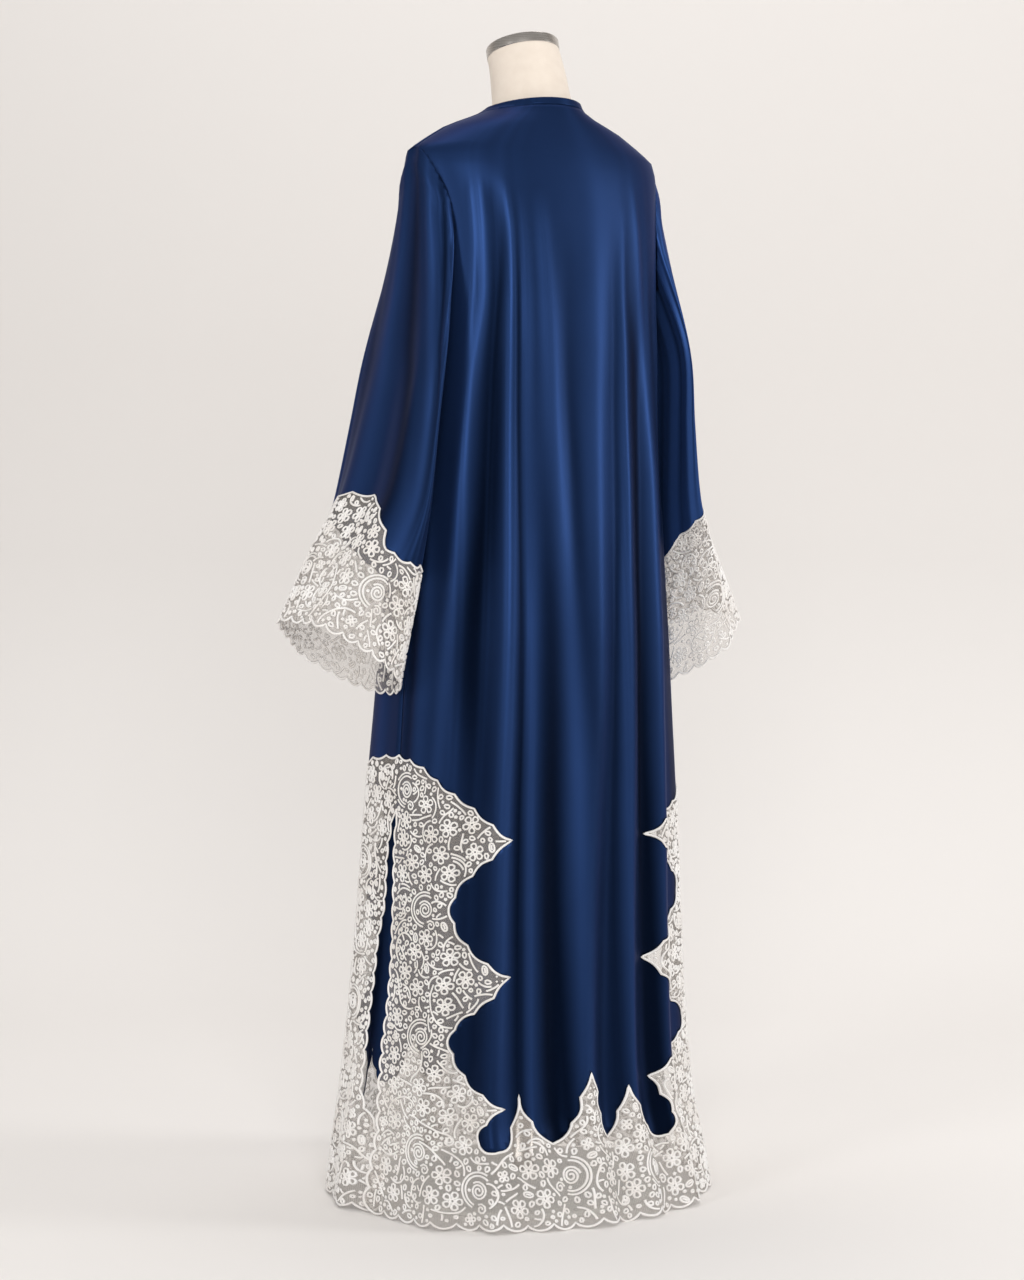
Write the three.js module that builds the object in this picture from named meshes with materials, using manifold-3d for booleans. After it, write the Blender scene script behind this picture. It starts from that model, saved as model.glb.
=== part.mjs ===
// A full-length satin abaya with corded lace borders, worn on a limbless dress form with a round stand.
// Millimetres, +Z up. The garment's front faces -Y and the wearer's left is +X. The stand's foot is centred on
// the origin. Each cloth piece is cut flat with its outline, from a gridded slab, and then draped:
// a body piece lies at (turn, height), where turn is the angle round the body from the centre back,
// and a sleeve piece lies at (turn, length), where turn starts at the sleeve's top line.
import * as THREE from "three";
import { mergeVertices } from "three/addons/utils/BufferGeometryUtils.js";
import Module from "manifold-3d";

const wasm = await Module();
wasm.setup();

// Cloth and seams.
const CLOTH = 1.6;
const SEAM = 0.36;
const FORM_GAP = 1.2;
const DEG = Math.PI / 180;

// Heights that the garment is cut to.
const HEM = 9;
const SLIT_TOP = 505;
const ARMHOLE_BOTTOM = 1125;
const SHOULDER_TIP = 1333;
const NECK_SIDE = 1383;
const BACK_NECK_RISE = 9;
const FRONT_NECK_DROP = 52;
const BINDING = 6;
const NECK_STEPS = 12;

// The seam between satin and lace, at a turn from the centre back and a height. It has its tips and valleys, and
// goes round the back from the left side to the right one, and from a side to the centre front.
const SIDE_TOP = { turn: 90, height: 572 };
const BACK_EDGE = [
  { turn: 74, height: 563 },
  { turn: 57, height: 534 },
  { turn: 44, height: 504 },
  { turn: 31.5, height: 472 },
  { turn: 43, height: 438 },
  { turn: 52, height: 409 },
  { turn: 54, height: 378 },
  { turn: 47, height: 338 },
  { turn: 31.5, height: 303 },
  { turn: 42, height: 266 },
  { turn: 52, height: 240 },
  { turn: 53, height: 212 },
  { turn: 46, height: 174 },
  { turn: 33.5, height: 142 },
  { turn: 41, height: 121 },
  { turn: 43, height: 98 },
  { turn: 38, height: 89 },
  { turn: 33, height: 104 },
  { turn: 28, height: 158 },
  { turn: 24, height: 122 },
  { turn: 18, height: 99 },
  { turn: 11, height: 118 },
  { turn: 7.5, height: 150 },
  { turn: 3.5, height: 178 },
  { turn: 0.5, height: 134 },
  { turn: -2.5, height: 100 },
  { turn: -7.5, height: 124 },
  { turn: -12, height: 155 },
  { turn: -17, height: 124 },
  { turn: -22, height: 98 },
  { turn: -28, height: 87 },
  { turn: -31, height: 112 },
  { turn: -25, height: 161 },
  { turn: -38, height: 186 },
  { turn: -53, height: 204 },
  { turn: -56, height: 228 },
  { turn: -40, height: 262 },
  { turn: -25, height: 311 },
  { turn: -39, height: 340 },
  { turn: -55, height: 372 },
  { turn: -56, height: 402 },
  { turn: -42, height: 436 },
  { turn: -28, height: 467 },
  { turn: -40, height: 488 },
  { turn: -60, height: 505 },
  { turn: -75, height: 540 },
];
const FRONT_EDGE = [
  { turn: 106, height: 566 },
  { turn: 121, height: 549 },
  { turn: 134, height: 512 },
  { turn: 147, height: 471 },
  { turn: 135, height: 434 },
  { turn: 126, height: 392 },
  { turn: 135, height: 340 },
  { turn: 147.5, height: 304 },
  { turn: 136, height: 264 },
  { turn: 127, height: 222 },
  { turn: 135, height: 176 },
  { turn: 146, height: 144 },
  { turn: 139, height: 97 },
  { turn: 146, height: 98 },
  { turn: 152, height: 156 },
  { turn: 157, height: 114 },
  { turn: 163, height: 108 },
  { turn: 171, height: 172 },
  { turn: 176, height: 124 },
  { turn: 180, height: 104 },
];
// Scallops: the free edges' and the small bumps of the seam between satin and lace.
const SCALLOP = { pitch: 26, depth: 6, slit: 3.5 };
const EDGE_BUMP = { pitch: 34, depth: 2.5 };

// Level rings of the worn garment: half width, depth behind and in front of the side seams, and how square the
// ring's corners are, where 2 is an ellipse.
const BODY = [
  { height: 0, halfWidth: 232, back: 206, front: 258, square: 2.15 },
  { height: 60, halfWidth: 227, back: 183, front: 253, square: 2.12 },
  { height: 130, halfWidth: 220, back: 154, front: 244, square: 2.1 },
  { height: 200, halfWidth: 214, back: 146, front: 236, square: 2.1 },
  { height: 300, halfWidth: 208, back: 142, front: 226, square: 2.1 },
  { height: 400, halfWidth: 204, back: 140, front: 215, square: 2.1 },
  { height: 500, halfWidth: 200, back: 140, front: 206, square: 2.1 },
  { height: 600, halfWidth: 194, back: 141, front: 197, square: 2.1 },
  { height: 700, halfWidth: 188, back: 140, front: 184, square: 2.15 },
  { height: 810, halfWidth: 181, back: 134, front: 166, square: 2.25 },
  { height: 900, halfWidth: 177, back: 128, front: 152, square: 2.35 },
  { height: 1018, halfWidth: 172, back: 122, front: 139, square: 2.45 },
  { height: 1083, halfWidth: 170, back: 121, front: 133, square: 2.5 },
  { height: 1150, halfWidth: 168, back: 118, front: 127, square: 2.5 },
  { height: 1224, halfWidth: 171, back: 113, front: 116, square: 2.4 },
  { height: 1276, halfWidth: 176, back: 106, front: 101, square: 2.25 },
  { height: 1310, halfWidth: 180, back: 99, front: 87, square: 2.1 },
  { height: 1327, halfWidth: 178, back: 94, front: 79, square: 2 },
  { height: 1338, halfWidth: 164, back: 90, front: 72, square: 2 },
  { height: 1350, halfWidth: 145, back: 85, front: 65, square: 2 },
  { height: 1362, halfWidth: 124, back: 80, front: 58, square: 2 },
  { height: 1372, halfWidth: 98, back: 76, front: 53, square: 2 },
  { height: 1380, halfWidth: 78, back: 72.5, front: 49, square: 2 },
  { height: 1388, halfWidth: 66, back: 69.5, front: 45, square: 2 },
  { height: 1402, halfWidth: 59.5, back: 65.5, front: 41, square: 2 },
];

// Folds that hang down the body: ridges stand out and troughs, with a minus, go in. A fold starts at top, at
// the turn atTop, reaches waist mm at WAIST and hem mm at the hem, at the turn atHem.
const WAIST = 850;
const FOLDS = [
  { top: 1300, atTop: 50, atHem: 60, spread: 7, waist: 6, hem: 12 },
  { top: 1290, atTop: 41, atHem: 50, spread: 6, waist: -8, hem: -8 },
  { top: 1310, atTop: 31, atHem: 40, spread: 5.5, waist: 6, hem: 15 },
  { top: 1290, atTop: 25, atHem: 31, spread: 4.5, waist: -3, hem: -9 },
  { top: 1250, atTop: 15, atHem: 24, spread: 6, waist: 3, hem: 5 },
  { top: 1220, atTop: 5, atHem: 17, spread: 6, waist: -2, hem: -6 },
  { top: 1240, atTop: -8, atHem: 7, spread: 6.5, waist: 4, hem: 12 },
  { top: 1230, atTop: -18, atHem: -3, spread: 5, waist: -3, hem: -10 },
  { top: 1270, atTop: -27, atHem: -12, spread: 5.5, waist: 5, hem: 9 },
  { top: 1270, atTop: -36, atHem: -21, spread: 5.5, waist: -6, hem: -8 },
  { top: 1270, atTop: -46, atHem: -31, spread: 6.5, waist: 5, hem: 12 },
  { top: 1240, atTop: -57, atHem: -43, spread: 7, waist: -5, hem: -8 },
  { top: 900, atTop: -68, atHem: -62, spread: 8, waist: 2, hem: 7 },
  { top: 360, atTop: 101, atHem: 100, spread: 9, waist: 0, hem: 26 },
  { top: 360, atTop: -101, atHem: -100, spread: 9, waist: 0, hem: 16 },
  { top: 1180, atTop: 112, atHem: 119, spread: 10, waist: 5, hem: 22 },
  { top: 1180, atTop: 131, atHem: 137, spread: 8, waist: -4, hem: -8 },
  { top: 1180, atTop: 148, atHem: 152, spread: 8, waist: 5, hem: 11 },
  { top: 1180, atTop: -112, atHem: -116, spread: 10, waist: 5, hem: 16 },
  { top: 1180, atTop: -129, atHem: -134, spread: 8, waist: -4, hem: -8 },
  { top: 1180, atTop: -146, atHem: -151, spread: 8, waist: 5, hem: 11 },
];

// The turns that the panels' slit edges hang at, by height. The front's edge crosses behind the back's at the hem.
const SLIT = [
  { height: 0, back: 92.5, front: 87.5 },
  { height: 60, back: 91.5, front: 89 },
  { height: 105, back: 90.5, front: 92 },
  { height: 150, back: 91.5, front: 97.5 },
  { height: 210, back: 92, front: 98.8 },
  { height: 260, back: 91.2, front: 99.6 },
  { height: 325, back: 90.6, front: 99.6 },
  { height: 390, back: 90.6, front: 95.6 },
  { height: 450, back: 91, front: 95 },
  { height: SLIT_TOP - 20, back: 90.6, front: 92.6 },
];
const TUCK = { depth: 9, below: 150, full: 95, from: 100, to: 93 };
// The right front laps over the left one at the centre front.
const LAP = { past: 15, rise: CLOTH + 1.3, clear: 30, level: 60 };

// Left sleeve: planar rings down its length, after the armhole seam, tilted up on their outer side.
const ARMHOLE = { turn: 90, reach: 32 };
const SLEEVE = [
  { x: 185, y: -6, z: 1068, tilt: 8, across: 11, deep: 102 },
  { x: 193, y: -18, z: 988, tilt: 13, across: 15, deep: 108 },
  { x: 203, y: -30, z: 897, tilt: 21, across: 24, deep: 115 },
  { x: 228, y: -37, z: 804, tilt: 30, across: 49, deep: 118 },
  { x: 259, y: -36, z: 700, tilt: 36.5, across: 79, deep: 100 },
];
const SLEEVE_FOLDS = [
  { at: -28, spread: 12, depth: 5, top: 480 },
  { at: 4, spread: 11, depth: -5, top: 500 },
  { at: 34, spread: 11, depth: 6, top: 560 },
  { at: 62, spread: 11, depth: -5, top: 500 },
  { at: 88, spread: 12, depth: 4, top: 420 },
  { at: -66, spread: 13, depth: -4, top: 420 },
  { at: -98, spread: 13, depth: 4, top: 420 },
];
// Upper edge of the left cuff's lace: turn from the sleeve's top line towards the back, and length up from the
// cuff. The right sleeve has the same edge, but hangs twisted round by some degrees.
const CUFF_EDGE = [
  { turn: -180, length: 140 },
  { turn: -140, length: 160 },
  { turn: -100, length: 176 },
  { turn: -23, length: 181 },
  { turn: 0, length: 180 },
  { turn: 16, length: 176 },
  { turn: 29, length: 157 },
  { turn: 43, length: 138 },
  { turn: 55, length: 115 },
  { turn: 75, length: 115 },
  { turn: 120, length: 134 },
  { turn: 180, length: 140 },
];
const CUFF_TWIST = { left: 0, right: 116 };

// Dress form: level rings below the shoulders, tilted rings up the neck, then the stand.
const TORSO = [
  { height: 775, halfWidth: 148, back: 106, front: 96 },
  { height: 830, halfWidth: 158, back: 114, front: 100 },
  { height: 880, halfWidth: 154, back: 104, front: 96 },
  { height: 980, halfWidth: 124, back: 90, front: 88 },
  { height: 1060, halfWidth: 136, back: 100, front: 112 },
  { height: 1130, halfWidth: 150, back: 108, front: 118 },
  { height: 1200, halfWidth: 154, back: 105, front: 104 },
  { height: 1290, halfWidth: 156, back: 90, front: 76 },
];
const NECK = [
  { height: 1389, halfWidth: 53, halfDepth: 51, y: 5, tilt: 0 },
  { height: 1410, halfWidth: 50, halfDepth: 50, y: -1, tilt: 4 },
  { height: 1432, halfWidth: 48.5, halfDepth: 48.5, y: -7, tilt: 9 },
  { height: 1450, halfWidth: 47, halfDepth: 47, y: -13, tilt: 13 },
  { height: 1462, halfWidth: 46.5, halfDepth: 46.5, y: -18, tilt: 15 },
];
const CAP = { radius: 47, height: 13, bevel: 1.2, gap: 0.3 };
const STAND = { poleRadius: 14, poleY: -20, footRadius: 172, footHeight: 26, footRim: 9, hubRadius: 24 };

// Grids: columns at these turns, rows at these heights or lengths, and the flat millimetres of a degree.
const BODY_GRID = {
  turns: [...rowsBetween(-198, -72, 14), ...rowsBetween(-72, 72, 32).slice(1), ...rowsBetween(72, 198, 14).slice(1)],
  perDegree: 3.2,
};
const BODY_ROWS = [
  ...rowsBetween(-6, 600, 9),
  ...rowsBetween(600, 1200, 6).slice(1),
  ...[1250, 1290, 1318, 1336, 1351, 1364, 1376, 1388, 1404],
];
const SLEEVE_GRID = { turns: rowsBetween(-195, 195, 26), perDegree: 1.35 };
const SLEEVE_ROWS = [...rowsBetween(-12, 190, 5), ...rowsBetween(190, 600, 7).slice(1), 720];

const satin = new THREE.MeshStandardMaterial({ color: 0x14264f, roughness: 0.34, metalness: 0 });
const lace = new THREE.MeshStandardMaterial({ color: 0xdcd5cc, roughness: 0.8, metalness: 0 });
const linen = new THREE.MeshStandardMaterial({ color: 0xece2d3, roughness: 0.85, metalness: 0 });
const steel = new THREE.MeshStandardMaterial({ color: 0xa39d95, roughness: 0.3, metalness: 1 });
const enamel = new THREE.MeshStandardMaterial({ color: 0xe4e1dc, roughness: 0.45, metalness: 0 });

// ---- Small mathematics ----

function rowsBetween(low, high, count) {
  return Array.from({ length: count + 1 }, (_, i) => low + ((high - low) * i) / count);
}

function smoothstep(low, high, value) {
  const t = THREE.MathUtils.clamp((value - low) / (high - low), 0, 1);
  return t * t * (3 - 2 * t);
}

// The value of one column of a table at a place between its rows, on a smooth line that never overshoots.
function between(rows, by, key, at) {
  const last = rows.length - 1;
  if (at <= rows[0][by]) return rows[0][key];
  if (at >= rows[last][by]) return rows[last][key];
  let i = 0;
  while (rows[i + 1][by] < at) i++;
  const slope = (k) => (rows[k + 1][key] - rows[k][key]) / (rows[k + 1][by] - rows[k][by]);
  const tangent = (k) => {
    if (k === 0) return slope(0);
    if (k === last) return slope(last - 1);
    const before = slope(k - 1);
    const after = slope(k);
    return before * after > 0 ? (2 * before * after) / (before + after) : 0;
  };
  const span = rows[i + 1][by] - rows[i][by];
  const t = (at - rows[i][by]) / span;
  const t2 = t * t;
  const t3 = t2 * t;
  return (
    (2 * t3 - 3 * t2 + 1) * rows[i][key] +
    (t3 - 2 * t2 + t) * span * tangent(i) +
    (3 * t2 - 2 * t3) * rows[i + 1][key] +
    (t3 - t2) * span * tangent(i + 1)
  );
}

// ---- The draped body ----

function foldDepth(fold, height) {
  if (fold.top < WAIST) return fold.hem * smoothstep(fold.top, 0, height);
  const rows = [
    { height: 0, depth: fold.hem },
    { height: WAIST, depth: fold.waist },
    { height: fold.top, depth: 0 },
  ];
  return between(rows, "height", "depth", height);
}

function bodyFold(turn, height) {
  let out = 0;
  for (const fold of FOLDS) {
    if (height >= fold.top) continue;
    const middle = THREE.MathUtils.lerp(fold.atHem, fold.atTop, Math.max(0, height / fold.top));
    const away = (turn - middle) / fold.spread;
    if (Math.abs(away) < 3) out += foldDepth(fold, height) * Math.exp(-away * away);
  }
  return out;
}

// The garment's outer face without its folds, at a turn from the centre back, and a height.
function bodyFace(turn, height) {
  const halfWidth = between(BODY, "height", "halfWidth", height);
  const side = Math.cos(turn * DEG) >= 0 ? "back" : "front";
  const depth = between(BODY, "height", side, height);
  const square = between(BODY, "height", "square", height);
  const sine = Math.sin(turn * DEG);
  const cosine = Math.cos(turn * DEG);
  const corner = Math.pow(Math.pow(Math.abs(sine), square) + Math.pow(Math.abs(cosine), square), -1 / square);
  return new THREE.Vector3(halfWidth * corner * sine, depth * corner * cosine, height);
}

// A point under or over a face, by the face's own normal.
function offsetFrom(face, turn, along, inward, outwards) {
  const step = 0.5;
  const acrossLine = face(turn + step, along).sub(face(turn - step, along));
  const alongLine = face(turn, along + step).sub(face(turn, along - step));
  const normal = alongLine.cross(acrossLine).normalize().multiplyScalar(outwards);
  return face(turn, along).addScaledVector(normal, -inward);
}

function drapeBody(turn, height, inward) {
  const wrapped = turn > 180 ? turn - 360 : turn < -180 ? turn + 360 : turn;
  return offsetFrom(bodyFace, turn, height, inward - bodyFold(wrapped, height), 1);
}

// A front edge tucks in at the foot of the slit, and the right front is lifted over the left one.
function drapeFront(laps) {
  return (turn, height, inward) => {
    const tuck =
      TUCK.depth * smoothstep(TUCK.below, TUCK.full, height) * smoothstep(TUCK.from, TUCK.to, Math.abs(turn));
    const fromCentre = (180 + turn) * BODY_GRID.perDegree;
    const lift = laps ? LAP.rise * smoothstep(LAP.level, LAP.clear, fromCentre) : 0;
    return drapeBody(turn, height, inward + tuck - lift);
  };
}

// ---- The draped sleeve ----

// A flat place on the armhole's line, or inside the line by an inset.
function armholePoint(turn, inset = 0) {
  const middle = (SHOULDER_TIP + ARMHOLE_BOTTOM) / 2;
  const rise = (SHOULDER_TIP - ARMHOLE_BOTTOM) / 2 - inset;
  const reach = ARMHOLE.reach - inset / BODY_GRID.perDegree;
  return { turn: ARMHOLE.turn - reach * Math.sin(turn * DEG), height: middle + rise * Math.cos(turn * DEG) };
}

// The sleeve's end of the armhole seam. The underarm's wall faces the body, so it starts outside the body's face.
function sleeveHead(turn, inward) {
  const start = armholePoint(turn, SEAM + 0.3);
  const out = (SEAM + 0.2) * smoothstep(110, 170, Math.abs(turn));
  return drapeBody(start.turn, start.height, inward - out);
}

function ringPoint(ring, turn) {
  const across = ring.across * Math.cos(turn * DEG);
  return {
    x: ring.x + across * Math.cos(ring.tilt * DEG),
    y: ring.y + ring.deep * Math.sin(turn * DEG),
    z: ring.z + across * Math.sin(ring.tilt * DEG),
  };
}

// One line down the sleeve, as rows of length up from the cuff.
function sleeveLine(turn) {
  const points = [sleeveHead(turn, 0), ...SLEEVE.map((ring) => ringPoint(ring, turn))].reverse();
  let length = 0;
  return points.map((p, i) => {
    if (i) length += Math.hypot(p.x - points[i - 1].x, p.y - points[i - 1].y, p.z - points[i - 1].z);
    return { length, x: p.x, y: p.y, z: p.z };
  });
}

const sleeveLines = new Map();

function lineAt(turn) {
  const key = turn.toFixed(4);
  if (!sleeveLines.has(key)) sleeveLines.set(key, sleeveLine(turn));
  return sleeveLines.get(key);
}

function sleeveFace(turn, length) {
  const line = lineAt(turn);
  const at = (key) => between(line, "length", key, length);
  const below = length - line[0].length;
  const point = new THREE.Vector3(at("x"), at("y"), at("z"));
  if (below >= 0) return point;
  const first = line[0];
  const next = line[1];
  const span = next.length;
  return point.add(
    new THREE.Vector3(next.x - first.x, next.y - first.y, next.z - first.z).multiplyScalar(below / span),
  );
}

function sleeveLength(turn) {
  const line = lineAt(turn);
  return line[line.length - 1].length;
}

function drapeSleeve(turn, length, inward) {
  let out = 0;
  for (const fold of SLEEVE_FOLDS) {
    const away = (turn - fold.at) / fold.spread;
    if (Math.abs(away) < 3) out += fold.depth * smoothstep(fold.top, 120, length) * Math.exp(-away * away);
  }
  const point = offsetFrom(sleeveFace, turn, length, inward - out, -1);
  const top = sleeveLength(turn);
  const butted = smoothstep(top - 30, top, length) * smoothstep(100, 50, Math.abs(turn));
  const edge = sleeveHead(turn, inward).sub(sleeveHead(turn, 0));
  return butted > 0 ? point.lerp(sleeveFace(turn, length).add(edge), butted) : point;
}

// ---- Flat outlines ----

// Moves a run of points sideways, to their left for a plus, so that each of its lines moves by the distance.
function shifted(points, distance) {
  const sideways = points.slice(1).map((p, i) => {
    const along = p.clone().sub(points[i]).normalize();
    return new THREE.Vector2(-along.y, along.x);
  });
  return points.map((p, i) => {
    const before = sideways[Math.max(i - 1, 0)];
    const after = sideways[Math.min(i, sideways.length - 1)];
    const middle = before.clone().add(after).normalize();
    return p.clone().addScaledVector(middle, distance / Math.max(middle.dot(after), 0.25));
  });
}

// Puts scallops on a run of points, bulging to its left, and keeps the run's points.
function scalloped(points, pitch, depth) {
  const made = [points[0].clone()];
  for (let i = 1; i < points.length; i++) {
    const a = points[i - 1];
    const b = points[i];
    const count = Math.max(1, Math.round(a.distanceTo(b) / pitch));
    const out = new THREE.Vector2(a.y - b.y, b.x - a.x).normalize();
    for (let k = 0; k < count; k++) {
      made.push(a.clone().lerp(b, (k + 0.5) / count).addScaledVector(out, depth));
      made.push(a.clone().lerp(b, (k + 1) / count));
    }
  }
  return made;
}

function flatPlace({ turn, height }) {
  return new THREE.Vector2(turn * BODY_GRID.perDegree, height);
}

// How far, and which way, a line at the side of a panel stands off the side line, for the gap of a seam.
function seamSide(panel) {
  return ((panel === "back" ? -1 : 1) * SEAM) / 2;
}

// The seam between satin and lace. Round the back, it goes from the left side to the right one. At the front,
// it goes from the centre to the side, and starts where the front laps over or under.
function laceSeam(panel) {
  const top = flatPlace(SIDE_TOP);
  top.x += seamSide(panel);
  if (panel === "back") {
    const run = [top, ...BACK_EDGE.map(flatPlace), new THREE.Vector2(-top.x, top.y)];
    return scalloped(run, EDGE_BUMP.pitch, -EDGE_BUMP.depth);
  }
  const run = [top, ...FRONT_EDGE.map(flatPlace)];
  const last = run[run.length - 1];
  run.push(new THREE.Vector2(last.x + LAP.past, last.y + 6));
  return scalloped(run, EDGE_BUMP.pitch, EDGE_BUMP.depth);
}

// The slit's edge from its top down to the hem, scalloped outwards.
function slitEdge(panel) {
  const steps = 9;
  const outwards = panel === "back" ? 1 : -1;
  const run = Array.from({ length: steps + 1 }, (_, i) => {
    const height = THREE.MathUtils.lerp(SLIT_TOP - 20, HEM, i / steps);
    const place = flatPlace({ turn: between(SLIT, "height", panel, height), height });
    place.x -= outwards * SCALLOP.slit;
    return place;
  });
  const top = flatPlace({ turn: SIDE_TOP.turn, height: SLIT_TOP });
  top.x += seamSide(panel);
  return [top, ...scalloped(run, SCALLOP.pitch, outwards * SCALLOP.slit)];
}

// The hem's edge between two flat places across, scalloped downwards.
function hemEdge(from, to) {
  const ends = [new THREE.Vector2(from, HEM), new THREE.Vector2(to, HEM)];
  return scalloped(ends, SCALLOP.pitch, (from > to ? 1 : -1) * SCALLOP.depth);
}

function armholeEdge(panel) {
  const steps = 12;
  return Array.from({ length: steps + 1 }, (_, i) => {
    const p = armholePoint(panel === "back" ? 180 - (180 * i) / steps : 180 + (180 * i) / steps);
    const nudge = i === 0 || i === steps ? seamSide(panel) : 0;
    return new THREE.Vector2(p.turn * BODY_GRID.perDegree + nudge, p.height);
  });
}

// The neckline from the shoulder seam to the panel's centre, or a lap past it.
function neckEdge(panel, past = 0) {
  const steps = NECK_STEPS;
  return Array.from({ length: steps + 1 }, (_, i) => {
    const share = i / steps;
    const turn = panel === "back" ? 90 * (1 - share) : 90 + 90 * share;
    const nudge = i === 0 ? seamSide(panel) : i === steps ? past : 0;
    return new THREE.Vector2(turn * BODY_GRID.perDegree + nudge, neckHeight(turn));
  });
}

function neckHeight(turn) {
  const away = Math.abs(turn);
  return away <= 90
    ? NECK_SIDE + BACK_NECK_RISE * Math.cos(away * DEG)
    : NECK_SIDE - FRONT_NECK_DROP * Math.pow(-Math.cos(away * DEG), 1.5);
}

function mirrored(points) {
  return points.map((p) => new THREE.Vector2(-p.x, p.y)).reverse();
}

// ---- Cutting and draping ----

function merged(geometry) {
  const bare = geometry.clone();
  for (const name of Object.keys(bare.attributes)) if (name !== "position") bare.deleteAttribute(name);
  return mergeVertices(bare, 1e-4);
}

// A solid from a closed geometry. A gridded one keeps its grid through a cut, because each of its cells, which
// are two triangles, has its own id.
function solidOf(geometry, gridded = false) {
  const whole = merged(geometry);
  const triVerts = new Uint32Array(whole.index.array);
  const mesh = { numProp: 3, vertProperties: new Float32Array(whole.attributes.position.array), triVerts };
  if (gridded) mesh.faceID = Uint32Array.from({ length: triVerts.length / 3 }, (_, i) => Math.floor(i / 2));
  return new wasm.Manifold(new wasm.Mesh(mesh));
}

// A flat slab as thick as the cloth, with a column at each of the grid's turns and a row at each of the rows.
function slab(grid, rows) {
  const across = grid.turns.length - 1;
  const along = rows.length - 1;
  const box = new THREE.BoxGeometry(across, along, CLOTH, across, along, 1);
  const place = box.attributes.position;
  for (let i = 0; i < place.count; i++) {
    const turn = grid.turns[Math.round(place.getX(i) + across / 2)];
    const row = rows[Math.round(place.getY(i) + along / 2)];
    place.setXYZ(i, turn * grid.perDegree, row, place.getZ(i) + CLOTH / 2);
  }
  return solidOf(box, true);
}

const bodySlab = slab(BODY_GRID, BODY_ROWS);
const sleeveSlab = slab(SLEEVE_GRID, SLEEVE_ROWS);

function prism(outline, depth) {
  return new THREE.ExtrudeGeometry(new THREE.Shape(outline), { depth, bevelEnabled: false });
}

function cut(cloth, outline) {
  const margin = 20;
  return cloth.intersect(solidOf(prism(outline, CLOTH + 2 * margin).translate(0, 0, -margin)));
}

function signedVolume(geometry) {
  const index = geometry.index.array;
  const place = geometry.attributes.position;
  const [a, b, c] = [new THREE.Vector3(), new THREE.Vector3(), new THREE.Vector3()];
  let sum = 0;
  for (let i = 0; i < index.length; i += 3) {
    a.fromBufferAttribute(place, index[i]);
    b.fromBufferAttribute(place, index[i + 1]);
    c.fromBufferAttribute(place, index[i + 2]);
    sum += a.dot(b.cross(c));
  }
  return sum / 6;
}

function turnedOut(geometry) {
  if (signedVolume(geometry) >= 0) return geometry;
  const index = geometry.index.array;
  for (let i = 0; i < index.length; i += 3) [index[i + 1], index[i + 2]] = [index[i + 2], index[i + 1]];
  return geometry;
}

// Drapes a flat solid: each of its corners goes to its place on the worn garment.
function draped(solid, drape, perDegree) {
  const made = solid.getMesh();
  const place = new Float32Array(made.numVert * 3);
  for (let i = 0; i < made.numVert; i++) {
    const [across, along, inward] = made.vertProperties.subarray(i * made.numProp, i * made.numProp + 3);
    drape(across / perDegree, along, inward).toArray(place, i * 3);
  }
  const geometry = new THREE.BufferGeometry();
  geometry.setAttribute("position", new THREE.BufferAttribute(place, 3));
  geometry.setIndex(new THREE.BufferAttribute(new Uint32Array(made.triVerts), 1));
  return turnedOut(geometry);
}

const garment = new THREE.Group();
const form = new THREE.Group();

function add(group, name, geometry, material) {
  const mesh = new THREE.Mesh(geometry, material);
  mesh.name = name;
  group.add(mesh);
  return mesh;
}

// ---- Body panels ----

const seams = { back: laceSeam("back"), front: laceSeam("front") };

function backSatin() {
  const left = [...armholeEdge("back"), ...neckEdge("back")];
  const right = mirrored(left).slice(1);
  return [...left, ...right, ...shifted(seams.back, -SEAM / 2).reverse()];
}

function backLace() {
  const left = slitEdge("back");
  const right = mirrored(left);
  const end = left[left.length - 1].x;
  return [...shifted(seams.back, SEAM / 2), ...right.slice().reverse(), ...hemEdge(-end, end).slice(1, -1), ...left.slice().reverse()];
}

function frontSatin() {
  return [...shifted(seams.front, SEAM / 2).reverse(), ...armholeEdge("front"), ...neckEdge("front", LAP.past)];
}

function frontLace() {
  const slit = slitEdge("front");
  const end = seams.front[seams.front.length - 1].x;
  return [...shifted(seams.front, -SEAM / 2), ...hemEdge(end, slit[slit.length - 1].x).slice(0, -1), ...slit.slice().reverse()];
}

function panelPiece(name, outline, drape, material) {
  add(garment, name, draped(cut(bodySlab, outline), drape, BODY_GRID.perDegree), material);
}

panelPiece("back_panel", backSatin(), drapeBody, satin);
panelPiece("back_lace", backLace(), drapeBody, lace);
for (const side of ["left", "right"]) {
  const laps = side === "right";
  const turned = (points) => (laps ? mirrored(points) : points);
  panelPiece(`front_panel_${side}`, turned(frontSatin()), drapeFront(laps), satin);
  panelPiece(`front_lace_${side}`, turned(frontLace()), drapeFront(laps), lace);
}

// The neck's binding stands on the necklines of all three panels, open where the fronts meet.
function flatBinding() {
  const steps = 4 * NECK_STEPS;
  const strip = new THREE.BoxGeometry(steps, 1, CLOTH, steps, 1, 1);
  const place = strip.attributes.position;
  for (let i = 0; i < place.count; i++) {
    const turn = THREE.MathUtils.clamp((360 * place.getX(i)) / steps, -179.4, 179.4);
    const rise = place.getY(i) > 0 ? BINDING : SEAM + 0.2;
    place.setXYZ(i, turn * BODY_GRID.perDegree, neckHeight(turn) + rise, place.getZ(i) + CLOTH / 2);
  }
  return solidOf(strip);
}

add(garment, "neck_binding", draped(flatBinding(), drapeBody, BODY_GRID.perDegree), satin);

// ---- Sleeves ----

const TUBE_END = 179.9;

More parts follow.
